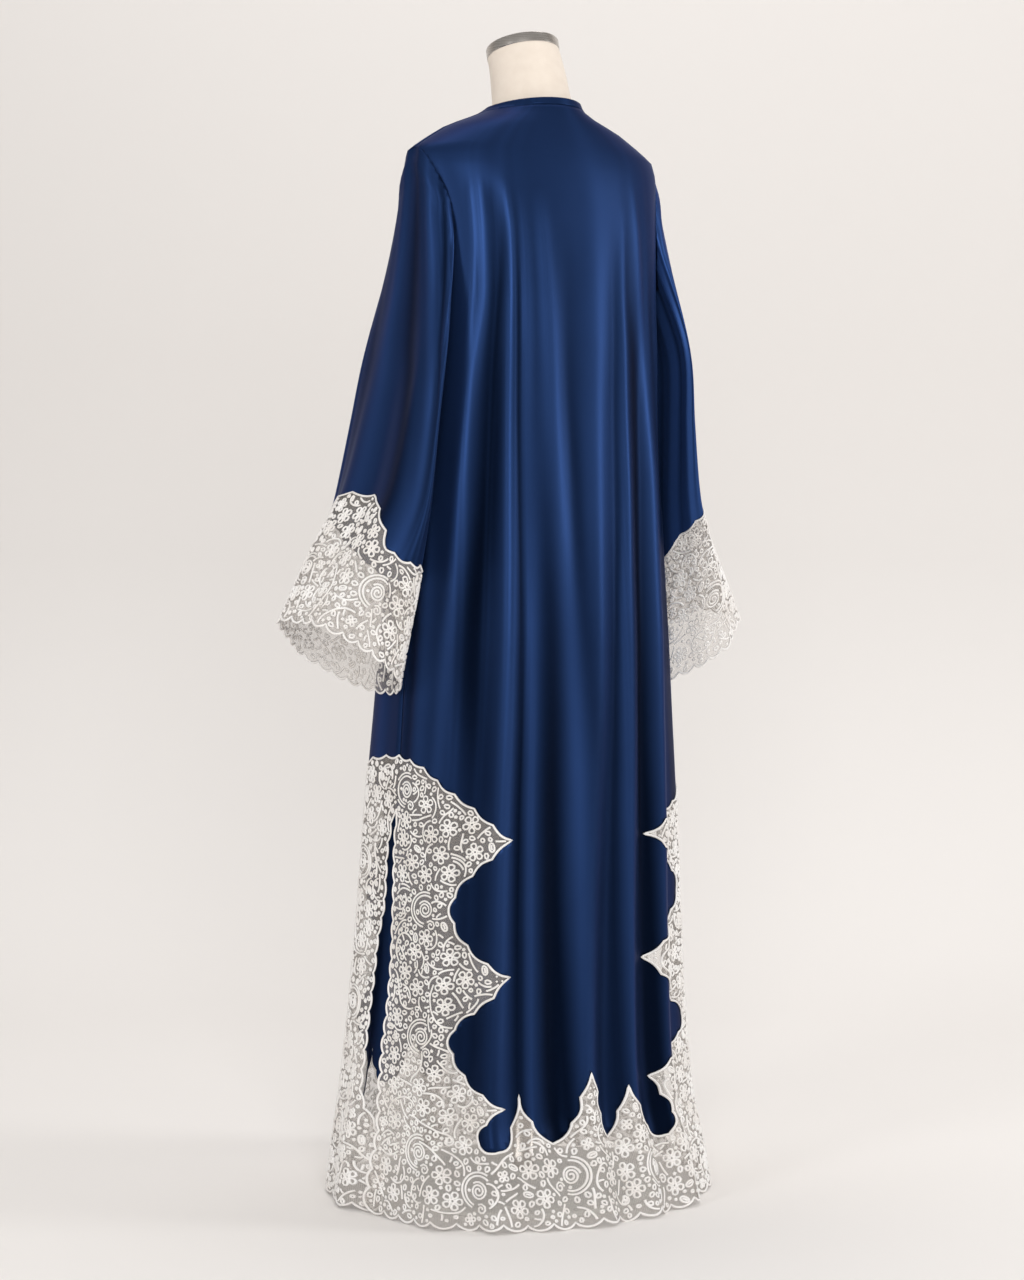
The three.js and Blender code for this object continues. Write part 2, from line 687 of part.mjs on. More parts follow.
function cuffSeam(side) {
  const steps = 24;
  const run = Array.from({ length: steps + 1 }, (_, i) => {
    const turn = THREE.MathUtils.lerp(-TUBE_END, TUBE_END, i / steps);
    const untwisted = THREE.MathUtils.euclideanModulo(turn - CUFF_TWIST[side] + 180, 360) - 180;
    return new THREE.Vector2(turn * SLEEVE_GRID.perDegree, between(CUFF_EDGE, "turn", "length", untwisted));
  });
  return scalloped(run, EDGE_BUMP.pitch, EDGE_BUMP.depth);
}

function sleeveOutline(side) {
  const steps = 24;
  const head = Array.from({ length: steps + 1 }, (_, i) => {
    const turn = THREE.MathUtils.clamp(180 - (360 * i) / steps, -TUBE_END, TUBE_END);
    return new THREE.Vector2(turn * SLEEVE_GRID.perDegree, sleeveLength(turn));
  });
  return [...shifted(cuffSeam(side), SEAM * 0.7), ...head];
}

function cuffOutline(side) {
  const end = TUBE_END * SLEEVE_GRID.perDegree;
  const edge = [new THREE.Vector2(end, 0), new THREE.Vector2(-end, 0)];
  return [...shifted(cuffSeam(side), -SEAM / 2), ...scalloped(edge, SCALLOP.pitch, SCALLOP.depth)];
}

for (const side of ["left", "right"]) {
  const mirror = side === "left" ? 1 : -1;
  const drape = (turn, length, inward) => {
    const point = drapeSleeve(turn, length, inward);
    point.x *= mirror;
    return point;
  };
  const sew = (name, outline, material) => {
    add(garment, `${name}_${side}`, draped(cut(sleeveSlab, outline), drape, SLEEVE_GRID.perDegree), material);
  };
  sew("sleeve", sleeveOutline(side), satin);
  sew("cuff_lace", cuffOutline(side), lace);
}

// ---- Dress form ----

// A closed surface through rings: point(turn, ring) gives a place on each ring of the list.
function lofted(rings, point, columns) {
  const tube = new THREE.CylinderGeometry(1, 1, rings.length - 1, columns, rings.length - 1, false);
  const place = tube.attributes.position;
  for (let i = 0; i < place.count; i++) {
    const ring = rings[Math.round(place.getY(i) + (rings.length - 1) / 2)];
    const radius = Math.hypot(place.getX(i), place.getZ(i));
    const turn = Math.atan2(place.getX(i), place.getZ(i)) / DEG;
    const middle = point(0, ring).add(point(180, ring)).multiplyScalar(0.5);
    middle.x = 0;
    place.setXYZ(i, ...middle.lerp(point(turn, ring), Math.min(1, radius)).toArray());
  }
  return turnedOut(merged(tube));
}

function torsoPoint(turn, ring) {
  if (ring.tilt !== undefined) {
    const back = ring.halfDepth * Math.cos(turn * DEG);
    return new THREE.Vector3(
      ring.halfWidth * Math.sin(turn * DEG),
      ring.y + back * Math.cos(ring.tilt * DEG),
      ring.height + back * Math.sin(ring.tilt * DEG),
    );
  }
  const side = Math.cos(turn * DEG) >= 0 ? "back" : "front";
  const own = new THREE.Vector3(
    between(TORSO, "height", "halfWidth", ring.height) * Math.sin(turn * DEG),
    between(TORSO, "height", side, ring.height) * Math.cos(turn * DEG),
    ring.height,
  );
  const under = drapeBody(turn, ring.height, CLOTH + FORM_GAP);
  return own.lerp(under, smoothstep(1280, 1336, ring.height));
}

const torsoRows = [...rowsBetween(TORSO[0].height, 1250, 7), ...BODY_ROWS.filter((row) => row > 1250 && row < 1380)];
const torsoRings = [...torsoRows.map((height) => ({ height })), ...NECK];
add(form, "form_torso", lofted(torsoRings, torsoPoint, 40), linen);

function neckCap() {
  const top = NECK[NECK.length - 1];
  const shape = [
    new THREE.Vector2(0, 0),
    new THREE.Vector2(CAP.radius, 0),
    new THREE.Vector2(CAP.radius, CAP.height - CAP.bevel),
    new THREE.Vector2(CAP.radius - CAP.bevel, CAP.height),
    new THREE.Vector2(0, CAP.height),
  ];
  const cap = new THREE.LatheGeometry(shape, 40).rotateX(Math.PI / 2).translate(0, 0, CAP.gap);
  cap.rotateX(top.tilt * DEG).translate(0, top.y, top.height);
  return turnedOut(merged(cap));
}

add(form, "neck_cap", neckCap(), steel);

// The stand: a flange under the torso, a pole and a low round foot.
function upright(profile, segments) {
  const turned = new THREE.LatheGeometry(profile.map(([r, z]) => new THREE.Vector2(r, z)), segments);
  return turnedOut(merged(turned.rotateX(Math.PI / 2).translate(0, STAND.poleY, 0)));
}

const torsoBottom = TORSO[0].height;
add(form, "stand_foot", upright([[0, 0], [STAND.footRadius, 0], [STAND.footRadius, STAND.footRim * 0.6],
  [STAND.footRadius - 6, STAND.footRim], [STAND.hubRadius + 14, STAND.footRim + 5],
  [STAND.hubRadius, STAND.footHeight], [0, STAND.footHeight]], 40), enamel);
add(form, "stand_pole", upright([[0, STAND.footHeight + SEAM], [STAND.poleRadius, STAND.footHeight + SEAM],
  [STAND.poleRadius, torsoBottom - 12], [0, torsoBottom - 12]], 20), steel);
add(form, "stand_flange", upright([[0, torsoBottom - 12 + SEAM], [44, torsoBottom - 12 + SEAM],
  [44, torsoBottom - 4], [40, torsoBottom - SEAM], [0, torsoBottom - SEAM]], 28), steel);

const abaya = new THREE.Group();
abaya.add(garment, form);
abaya.position.y = -STAND.poleY;
export default abaya;
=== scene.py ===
"""A full-length satin abaya with corded lace borders, worn on a limbless dress form with a round stand.

Each cloth piece is laid out flat in millimetres, cut along its outline and then draped. A body piece lies at
(turn, height), where turn is the angle round the body from the centre back. A sleeve piece lies at (turn, length),
where turn starts at the sleeve's top line and length goes up from the cuff.
"""

import logging
import math
from collections.abc import Callable, Iterable, Sequence
from dataclasses import dataclass, field
from enum import Enum

import bmesh
import bpy
import numpy as np
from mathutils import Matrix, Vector

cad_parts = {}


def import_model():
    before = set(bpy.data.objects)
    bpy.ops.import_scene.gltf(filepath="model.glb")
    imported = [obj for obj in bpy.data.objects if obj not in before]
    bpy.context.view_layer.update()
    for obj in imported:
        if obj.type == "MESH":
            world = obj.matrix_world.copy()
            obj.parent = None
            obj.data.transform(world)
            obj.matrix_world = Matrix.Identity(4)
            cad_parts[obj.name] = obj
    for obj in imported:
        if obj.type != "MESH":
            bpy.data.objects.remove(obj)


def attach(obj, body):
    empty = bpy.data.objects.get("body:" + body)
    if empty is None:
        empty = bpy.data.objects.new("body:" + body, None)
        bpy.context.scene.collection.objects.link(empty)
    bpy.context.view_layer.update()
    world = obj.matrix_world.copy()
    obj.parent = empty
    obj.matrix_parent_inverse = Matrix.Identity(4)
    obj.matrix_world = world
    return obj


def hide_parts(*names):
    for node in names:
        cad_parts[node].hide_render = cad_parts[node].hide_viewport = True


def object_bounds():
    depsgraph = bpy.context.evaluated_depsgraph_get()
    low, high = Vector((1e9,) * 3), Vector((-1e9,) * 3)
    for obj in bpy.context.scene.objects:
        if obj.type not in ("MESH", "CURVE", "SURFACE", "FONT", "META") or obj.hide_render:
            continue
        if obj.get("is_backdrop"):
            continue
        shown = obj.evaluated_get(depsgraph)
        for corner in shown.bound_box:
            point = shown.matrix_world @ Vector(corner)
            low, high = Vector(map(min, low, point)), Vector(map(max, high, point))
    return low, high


log = logging.getLogger("abaya")

MM = 0.001
# The garment's middle hangs this far behind the stand's pole.
STAND_Y = 20.0
# The depth that the cloth takes up on the form, and the gap along a seam.
CLOTH = 1.6
SEAM = 0.36

# Heights on the worn garment. The scallops of the free edge reach below the hem's line.
SLIT_TOP = 505.0
SCALLOPS_TOP = 485.0
HEM = 9.0
ARMHOLE_BOTTOM = 1125.0
SHOULDER_TIP = 1333.0
NECK_SIDE = 1383.0
BACK_NECK_RISE = 9.0
FRONT_NECK_DROP = 52.0
BINDING = 6.0
WAIST = 850.0
# The armhole's reach from the side towards the middle, in degrees of turn.
ARMHOLE_REACH = 32.0
# The body's satin reaches this far under the sleeve's edge, and a front this far past the centre line.
ARMHOLE_OVERLAP = 1.5
LAP_PAST = 15.0

Points = np.ndarray
Stroke = tuple[Points, bool]


class Side(Enum):
    """The wearer's left or right, as a sign along X."""

    LEFT = 1
    RIGHT = -1

    @property
    def word(self) -> str:
        """The side's lower-case name."""
        return self.name.lower()


class Panel(Enum):
    """Which part of the body a cut piece covers."""

    BACK = "back"
    FRONT = "front"


# ---- Small mathematics ----


def smoothstep(low: float, high: float, value: Points) -> Points:
    """A smooth ramp from 0 at low to 1 at high."""
    t = np.clip((value - low) / (high - low), 0, 1)
    return t * t * (3 - 2 * t)


def tangents_of(knots: Points, values: Points) -> Points:
    """Slopes at the knots of a line that never overshoots them.

    Args:
        knots: places, with the knots along the last axis.
        values: values at the knots, in the same shape.

    Returns:
        One slope for each knot.
    """
    slope = np.diff(values, axis=-1) / np.diff(knots, axis=-1)
    before, after = slope[..., :-1], slope[..., 1:]
    same = before * after > 0
    total = np.where(same, before + after, 1.0)
    middle = np.where(same, 2 * before * after / total, 0.0)
    return np.concatenate([slope[..., :1], middle, slope[..., -1:]], axis=-1)


def smooth_line(knots: Points, values: Points, where: Points) -> Points:
    """Values on a smooth line through knots, or on one line for each place.

    Args:
        knots: K knots, or N rows of K knots.
        values: values at the knots, in the same shape.
        where: N places along the lines.

    Returns:
        N values.
    """
    tangent = tangents_of(knots, values)
    last = knots.shape[-1] - 2
    if knots.ndim == 1:
        low = np.clip(np.searchsorted(knots, where) - 1, 0, last)

        def pick(rows: Points, step: int) -> Points:
            return rows[low + step]

    else:
        low = np.clip((knots < where[:, None]).sum(1) - 1, 0, last)

        def pick(rows: Points, step: int) -> Points:
            return np.take_along_axis(rows, (low + step)[:, None], 1)[:, 0]

    span = pick(knots, 1) - pick(knots, 0)
    t = np.clip((where - pick(knots, 0)) / span, 0, 1)
    t2, t3 = t * t, t * t * t
    return (
        (2 * t3 - 3 * t2 + 1) * pick(values, 0)
        + (t3 - 2 * t2 + t) * span * pick(tangent, 0)
        + (3 * t2 - 2 * t3) * pick(values, 1)
        + (t3 - t2) * span * pick(tangent, 1)
    )


class Rows:
    """A short table with named columns, read on a smooth line between its rows."""

    def __init__(self, columns: str, *rows: Sequence[float]) -> None:
        """Keeps the rows, the first column being the place that the others are read by."""
        names = columns.split()
        self.by = names[0]
        self.values = {name: np.array([row[i] for row in rows], float) for i, name in enumerate(names)}

    def at(self, column: str, where: Points) -> Points:
        """One column's values at several places."""
        return smooth_line(self.values[self.by], self.values[column], np.asarray(where, float))


# ---- Sizes of the worn garment ----

BODY = Rows(
    "height half_width back front square",
    (0, 232, 206, 258, 2.15),
    (60, 227, 183, 253, 2.12),
    (130, 220, 154, 244, 2.1),
    (200, 214, 146, 236, 2.1),
    (300, 208, 142, 226, 2.1),
    (400, 204, 140, 215, 2.1),
    (500, 200, 140, 206, 2.1),
    (600, 194, 141, 197, 2.1),
    (700, 188, 140, 184, 2.15),
    (810, 181, 134, 166, 2.25),
    (900, 177, 128, 152, 2.35),
    (1018, 172, 122, 139, 2.45),
    (1083, 170, 121, 133, 2.5),
    (1150, 168, 118, 127, 2.5),
    (1224, 171, 113, 116, 2.4),
    (1276, 176, 106, 101, 2.25),
    (1310, 180, 99, 87, 2.1),
    (1327, 178, 94, 79, 2),
    (1338, 164, 90, 72, 2),
    (1350, 145, 85, 65, 2),
    (1362, 124, 80, 58, 2),
    (1372, 98, 76, 53, 2),
    (1380, 78, 72.5, 49, 2),
    (1388, 66, 69.5, 45, 2),
    (1402, 59.5, 65.5, 41, 2),
)


@dataclass(frozen=True)
class Fold:
    """A fold down the body, from the height top down to the hem.

    Its turn goes from at_top to at_hem. It stands out by waist at the waist and by hem at the hem, or in with a minus.
    """

    top: float
    at_top: float
    at_hem: float
    spread: float
    waist: float
    hem: float

    def depth(self, height: Points) -> Points:
        """How far the fold stands out at each height."""
        if self.top < WAIST:
            return self.hem * smoothstep(self.top, 0, height)
        knots = np.array([0, WAIST, self.top])
        return smooth_line(knots, np.array([self.hem, self.waist, 0.0]), height)

    def relief(self, turn: Points, height: Points) -> Points:
        """How far the fold lifts the cloth at each place."""
        middle = self.at_hem + (self.at_top - self.at_hem) * np.maximum(0, height / self.top)
        away = (turn - middle) / self.spread
        return np.where(height < self.top, self.depth(height) * np.exp(-away * away), 0)


FOLDS = (
    Fold(1300, 50, 60, 7, 6, 12),
    Fold(1290, 41, 50, 6, -8, -8),
    Fold(1310, 31, 40, 5.5, 6, 15),
    Fold(1290, 25, 31, 4.5, -3, -9),
    Fold(1250, 15, 24, 6, 3, 5),
    Fold(1220, 5, 17, 6, -2, -6),
    Fold(1240, -8, 7, 6.5, 4, 12),
    Fold(1230, -18, -3, 5, -3, -10),
    Fold(1270, -27, -12, 5.5, 5, 9),
    Fold(1270, -36, -21, 5.5, -6, -8),
    Fold(1270, -46, -31, 6.5, 5, 12),
    Fold(1240, -57, -43, 7, -5, -8),
    Fold(900, -68, -62, 8, 2, 7),
    Fold(360, 101, 100, 9, 0, 26),
    Fold(360, -101, -100, 9, 0, 16),
    Fold(1180, 112, 119, 10, 5, 22),
    Fold(1180, 131, 137, 8, -4, -8),
    Fold(1180, 148, 152, 8, 5, 11),
    Fold(1180, -112, -116, 10, 5, 16),
    Fold(1180, -129, -134, 8, -4, -8),
    Fold(1180, -146, -151, 8, 5, 11),
)


class Crease:
    """A fine crease: its turn, spread and depth change along it, and a valley's depth has a minus."""

    def __init__(self, *rows: Sequence[float]) -> None:
        """Keeps rows of place along, turn, spread and depth, from one end to the other."""
        self.rows = Rows("along turn spread depth", *sorted(rows))

    def relief(self, turn: Points, along: Points) -> Points:
        """How far the crease lifts the cloth at each place."""
        away = (turn - self.rows.at("turn", along)) / self.rows.at("spread", along)
        return self.rows.at("depth", along) * np.exp(-away * away)


BODY_CREASES = (
    Crease((1300, -50, 4, 0), (1100, -52, 5, 0.8), (700, -48, 6, 0.9), (0, -46, 6, 0.9)),
    Crease((1200, -43, 2, -0.2), (1100, -42, 2, -1.5), (1000, -43, 3, -1.1), (900, -46, 4, -1.1), (0, -44, 4, -0.4)),
    Crease(
        (1300, -31, 1.8, 0.2), (1220, -32, 2, 1.8), (1100, -34, 2.4, 2), (1000, -36, 2.6, 2.4), (900, -37.5, 3, 1.8),
        (700, -37, 4, 1.4), (400, -36, 4.5, 1), (0, -33, 5, 1),
    ),
    Crease(
        (1250, -26, 2.4, -0.2), (1160, -25.5, 3, -1.4), (1000, -28, 4.5, -2.9), (700, -27, 5, -3.2),
        (400, -28.5, 4, -3), (0, -27, 4, -2.8),
    ),
    Crease((1270, -24, 1.8, 0), (1160, -21.5, 1.8, 1.1), (900, -20, 2, 2.2), (700, -16.5, 2.4, 1.9), (0, -15, 3, 1.6)),
    Crease((1250, -17, 2, 0), (1100, -16, 2.4, -1), (900, -15.5, 2.6, -1.1), (700, -12.5, 2.4, -1.5), (0, -9, 3, -1.1)),
    Crease(
        (1260, -8, 6, 0.5), (1100, -6, 6, 1.4), (900, -5, 6, 1.6), (700, -4, 5, 0.9), (400, -4, 4, 0.2),
        (0, -2, 4, 0),
    ),
    Crease(
        (1250, 8, 4, 0), (1100, 8, 4, -0.8), (900, 4, 4, -1.3), (700, 2, 3.5, -0.9), (500, -4, 3, -0.2),
        (0, -6, 3, 0),
    ),
    Crease(
        (1280, 18, 3, 0), (1220, 18, 3, 1.5), (1100, 16.5, 3.5, 1.9), (900, 12.5, 4, 2), (700, 9, 4, 2.1),
        (500, 5.5, 4, 2), (220, 4, 4, 1.6), (0, 3, 4.5, 1.6),
    ),
    Crease(
        (1100, 21, 3, -0.1), (900, 20, 3.5, -0.8), (700, 17.5, 4.5, -1.8), (500, 16.5, 4.5, -2.7), (220, 14.5, 5, -3),
        (0, 13, 5, -2.8),
    ),
    Crease(
        (1280, 26, 1.8, 0), (1220, 26, 2, 1), (1100, 26, 2.4, 1.8), (900, 26.5, 3, 1.2), (500, 25, 2.6, 1.6),
        (0, 24, 3, 1.4),
    ),
    Crease(
        (1280, 29, 1.4, -0.2), (1100, 30, 1.5, -2.1), (900, 30, 1.5, -2.3), (500, 28.5, 1.7, -2.3), (220, 28, 1.9, -2),
        (0, 28, 2, -1.6),
    ),
    Crease(
        (1290, 33, 1.4, 0.2), (1255, 32.3, 1.4, 1.5), (1220, 32, 1.5, 2), (1100, 33.5, 1.8, 2), (700, 34.5, 2.6, 2.2),
        (220, 34, 3, 1.8), (0, 34, 3.5, 1.6),
    ),
    Crease(
        (1290, 38, 2.4, -0.2), (1262, 38, 2.6, -1.4), (1220, 37.5, 3, -2), (1100, 39.5, 4, -3), (1000, 41, 5, -3.2),
        (900, 43, 5.5, -3.2), (700, 50, 7, -2.5), (500, 46, 6, -1), (0, 48, 6, -1),
    ),
    Crease(
        (1295, 44, 1.6, 0.2), (1268, 44, 1.5, 1.6), (1220, 44, 1.8, 2), (1160, 44, 2, 2), (1000, 52, 3, 1.8),
        (900, 56, 3, 2.2), (700, 61.5, 4, 1.8), (0, 70, 6, 0.8),
    ),
    Crease(
        (1290, 48.5, 1.3, 0.2), (1262, 48.5, 1.3, 1.5), (1220, 48.5, 1.4, 1.7), (1100, 51.5, 1.6, 1.3),
        (1000, 53, 2, 0),
    ),
    Crease((1050, 76, 3, 0), (820, 74, 4, 1.8), (600, 76, 5, 1.2), (0, 80, 6, 1)),
    Crease((1050, 84, 2.5, 0), (800, 83, 3, -1.8), (560, 84, 4, -1), (0, 88, 5, -0.4)),
    Crease((1180, 101, 3, 0), (900, 103, 4, 2.1), (600, 105, 5, 1.5), (0, 109, 6, 1.6)),
    Crease((1120, 118, 4, 0), (880, 117, 4, -2.4), (540, 119, 5, -2), (0, 125, 5, -2)),
    Crease((1240, 133, 2.5, 0), (1040, 132, 3, 1.6), (620, 131, 4, 2.2), (0, 136, 5, 1.7)),
    Crease((1200, 147, 3, 0), (960, 146, 4, -1.7), (500, 145, 5, -2.4), (0, 147, 5, -1.4)),
    Crease((1260, 161, 2.5, 0), (1000, 160, 3, 1.5), (480, 159, 4, 1.9), (0, 158, 5, 2)),
    Crease((1100, -62, 3, 0), (860, -61, 4, -2.1), (480, -60, 5, -1.6), (0, -59, 5, -1.8)),
    Crease((1080, -73, 4, 0), (830, -75, 5, 1.9), (420, -76, 5, 1.3), (0, -79, 6, 1.4)),
    Crease((1150, -98, 3, 0), (900, -100, 4, 1.7), (600, -101, 5, 1.9), (0, -107, 6, 1.3)),
    Crease((1150, -113, 4, 0), (860, -115, 4, -2.2), (520, -118, 5, -2.4), (0, -124, 5, -1.6)),
    Crease((1250, -129, 2.5, 0), (1020, -130, 3, 1.9), (640, -132, 4, 1.6), (0, -137, 5, 2.1)),
    Crease((1180, -143, 3, 0), (940, -144, 4, -2), (480, -146, 5, -1.8), (0, -150, 5, -1.9)),
    Crease((1240, -158, 2.5, 0), (980, -158, 3, 1.3), (500, -160, 4, 2.1), (0, -163, 5, 1.5)),
)  # fmt: skip
# Painted shade: how light the satin's colour is painted between its folds, by height, darker lower down.
BODY_SHADE = Rows(
    "along shade", (0, 0.36), (300, 0.43), (500, 0.48), (700, 0.53), (900, 0.59), (1300, 0.61), (1400, 0.5)
)
SLEEVE_CREASES = {
    Side.LEFT: (
        Crease((620, -45, 8, 0), (380, -45, 12, -1.1), (0, -45, 14, -1)),
        Crease((620, -10, 8, 0), (500, -10, 9, 1.2), (380, -17, 10, 1.8), (260, -14, 11, 1.4), (0, -14, 12, 1)),
        Crease((620, 12, 7, -0.6), (500, 15, 8, -1.8), (380, 15, 9, -2), (260, 29, 9, -2), (0, 34, 10, -1.6)),
        Crease((640, 31, 5, 0.4), (500, 40, 6, 2.2), (380, 46, 6, 1.7), (260, 60, 8, 2.2), (0, 66, 9, 1.6)),
        Crease((620, 52, 5, -1.6), (500, 63, 6, -2.3), (380, 60, 4, -1.2), (300, 78, 6, -0.8), (0, 88, 9, -1.6)),
        Crease((620, 70, 5, 1), (560, 71, 5, 2.1), (500, 90, 6, 1.4), (380, 71, 3.5, 0.8), (300, 80, 5, 0)),
        Crease((520, 118, 6, 0), (330, 120, 8, 1.9), (0, 122, 10, 1.2)),
        Crease((480, 146, 6, 0), (300, 148, 8, -1.7), (0, 150, 10, -1.4)),
        Crease((540, -76, 6, 0), (340, -78, 8, 1.6), (0, -80, 10, 1.4)),
        Crease((480, -116, 6, 0), (290, -114, 8, -1.8), (0, -112, 10, -1.1)),
    ),
    Side.RIGHT: (
        Crease((600, 96, 5, 0), (420, 98, 5, -1.6), (220, 96, 6, -1.2), (0, 96, 8, -1)),
        Crease((600, 112, 4, 0.3), (440, 110, 4, 1.9), (300, 112, 5, 2.2), (0, 110, 7, 1.4)),
        Crease((600, 126, 4, -0.3), (440, 127, 4, -2.2), (300, 126, 4, -1.9), (0, 128, 6, -1.2)),
        Crease((600, 141, 4, 0.3), (440, 140, 4, 2), (300, 138, 4, 2.3), (0, 140, 6, 1.5)),
        Crease((560, 152, 4, 0), (420, 154, 4, -1.7), (260, 151, 4, -2.4), (0, 152, 6, -1.6)),
        Crease((560, 167, 4, 0), (420, 166, 4, 1.8), (260, 163, 4, 2.2), (0, 164, 6, 1.3)),
        Crease((520, 18, 8, 0), (320, 22, 9, -1.9), (0, 30, 10, -1.5)),
        Crease((560, 48, 6, 0), (360, 50, 8, 2.1), (0, 56, 9, 1.4)),
        Crease((540, -14, 7, 0), (330, -17, 9, 1.5), (0, -20, 10, 1.6)),
        Crease((460, -52, 8, 0), (280, -50, 9, -1.6), (0, -48, 10, -1.2)),
        Crease((500, -96, 7, 0), (310, -94, 9, 1.8), (0, -92, 10, 1.1)),
    ),
}
# Painted shade and light on each sleeve between its creases: the left one painted darker, the right one, which hangs in
# shade, painted lighter.
SLEEVE_SHADE = {Side.LEFT: 0.59, Side.RIGHT: 1.1}
# Painted shade and highlight: how much lighter the satin's colour is painted for each millimetre that a crease stands
# out, and darker for each millimetre of a valley.
SHADE_PER_MM = 0.18

# The turns that the slit's edges hang at, by height.
SLIT = Rows(
    "height back front",
    (0, 92.5, 87.5),
    (60, 91.5, 89),
    (105, 90.5, 92),
    (150, 91.5, 97.5),
    (210, 92, 98.8),
    (260, 91.2, 99.6),
    (325, 90.6, 99.6),
    (390, 90.6, 95.6),
    (450, 91, 95),
    (485, 90.6, 92.6),
)

# The seam between satin and lace, as turn and height: round the back from the left side to the right one, and
# from a side to the centre front.
SIDE_TOP = (90.0, 572.0)
BACK_EDGE = (
    (74, 563), (57, 534), (44, 504), (31.5, 472), (43, 438), (52, 409), (54, 378), (47, 338), (31.5, 303),
    (42, 266), (52, 240), (53, 212), (46, 174), (33.5, 142), (41, 121), (43, 98), (38, 89), (33, 104), (28, 158),
    (24, 122), (18, 99), (11, 118), (8, 146), (6.4, 164), (3.5, 179), (0.7, 165), (0.1, 142), (-2.5, 100), (-7.5, 122),
    (-9.6, 142), (-12, 156), (-14.5, 142), (-17, 124), (-22, 98), (-28, 87), (-31, 112), (-25, 161), (-38, 186),
    (-53, 204), (-56, 228), (-40, 262), (-25, 311), (-39, 340), (-55, 372), (-56, 402), (-42, 436), (-28, 467),
    (-40, 488), (-60, 505), (-75, 540),
)  # fmt: skip
FRONT_EDGE = (
    (106, 566), (121, 549), (134, 512), (147, 471), (135, 434), (126, 392), (135, 340), (147.5, 304), (136, 264),
    (127, 222), (135, 176), (146, 144), (139, 97), (146, 98), (152, 156), (157, 114), (163, 108), (171, 172),
    (176, 124), (180, 104),
)  # fmt: skip


@dataclass(frozen=True)
class Ring:
    """A planar ring of the left sleeve, tilted up on its outer side."""

    x: float
    y: float
    z: float
    tilt: float
    across: float
    deep: float

    def at(self, turn: Points) -> Points:
        """The ring's points at the turns from the sleeve's top line.

        Args:
            turn: Degrees from the sleeve's top line.

        Returns:
            One point for each turn, in garment millimetres.
        """
        across = self.across * np.cos(np.radians(turn))
        tilt = math.radians(self.tilt)
        return np.stack(
            [
                self.x + across * math.cos(tilt),
                self.y + self.deep * np.sin(np.radians(turn)),
                self.z + across * math.sin(tilt),
            ],
            -1,
        )


SLEEVE = (
    Ring(185, -6, 1068, 8, 11, 102),
    Ring(193, -18, 988, 13, 15, 108),
    Ring(203, -30, 897, 21, 24, 115),
    Ring(228, -37, 804, 30, 49, 118),
    Ring(259, -36, 700, 36.5, 79, 100),
)


@dataclass(frozen=True)
class SleeveFold:
    """A fold down the sleeve, at a turn from its top line, from the cuff up to a length."""

    at: float
    spread: float
    depth: float
    top: float


SLEEVE_FOLDS = (
    SleeveFold(-28, 12, 5, 480),
    SleeveFold(4, 11, -5, 500),
    SleeveFold(34, 11, 6, 560),
    SleeveFold(62, 11, -5, 500),
    SleeveFold(88, 12, 4, 420),
    SleeveFold(-66, 13, -4, 420),
    SleeveFold(-98, 13, 4, 420),
)

CUFF_EDGE = Rows(
    "turn length",
    (-180, 140),
    (-140, 160),
    (-100, 176),
    (-23, 181),
    (0, 180),
    (16, 176),
    (29, 157),
    (43, 138),
    (55, 115),
    (75, 115),
    (120, 134),
    (180, 140),
)

TORSO = Rows(
    "height half_width back front",
    (775, 148, 106, 96),
    (830, 158, 114, 100),
    (880, 154, 104, 96),
    (980, 124, 90, 88),
    (1060, 136, 100, 112),
    (1130, 150, 108, 118),
    (1200, 154, 105, 104),
    (1290, 156, 90, 76),
)


@dataclass(frozen=True)
class NeckRing:
    """A ring up the form's neck, tilted up at its back."""

    height: float
    half_width: float
    half_depth: float
    y: float
    tilt: float


NECK = (
    NeckRing(1389, 53, 51, 5, 0),
    NeckRing(1410, 50, 50, -1, 4),
    NeckRing(1432, 48.5, 48.5, -7, 9),
    NeckRing(1450, 47, 47, -13, 13),
    NeckRing(1462, 46.5, 46.5, -18, 15),
)


# ---- Drapes: from a flat place to the worn garment ----


def offset_face(
    face: Callable[[Points, Points], Points], turn: Points, along: Points, out: Points, outwards: int
) -> Points:
    """Points off a face along its normal.

    Args:
        face: gives the face's points at turns and places along.
        turn: turns, in degrees.
        along: heights or lengths.
        out: how far each point stands off the face.
        outwards: 1 or -1, the side that counts as out.

    Returns:
        The points, in garment millimetres.
    """
    across_line = face(turn + 0.5, along) - face(turn - 0.5, along)
    along_line = face(turn, along + 0.5) - face(turn, along - 0.5)
    normal = np.cross(along_line, across_line)
    normal *= outwards / np.maximum(np.linalg.norm(normal, axis=1, keepdims=True), 1e-9)
    return face(turn, along) + normal * np.asarray(out)[:, None]


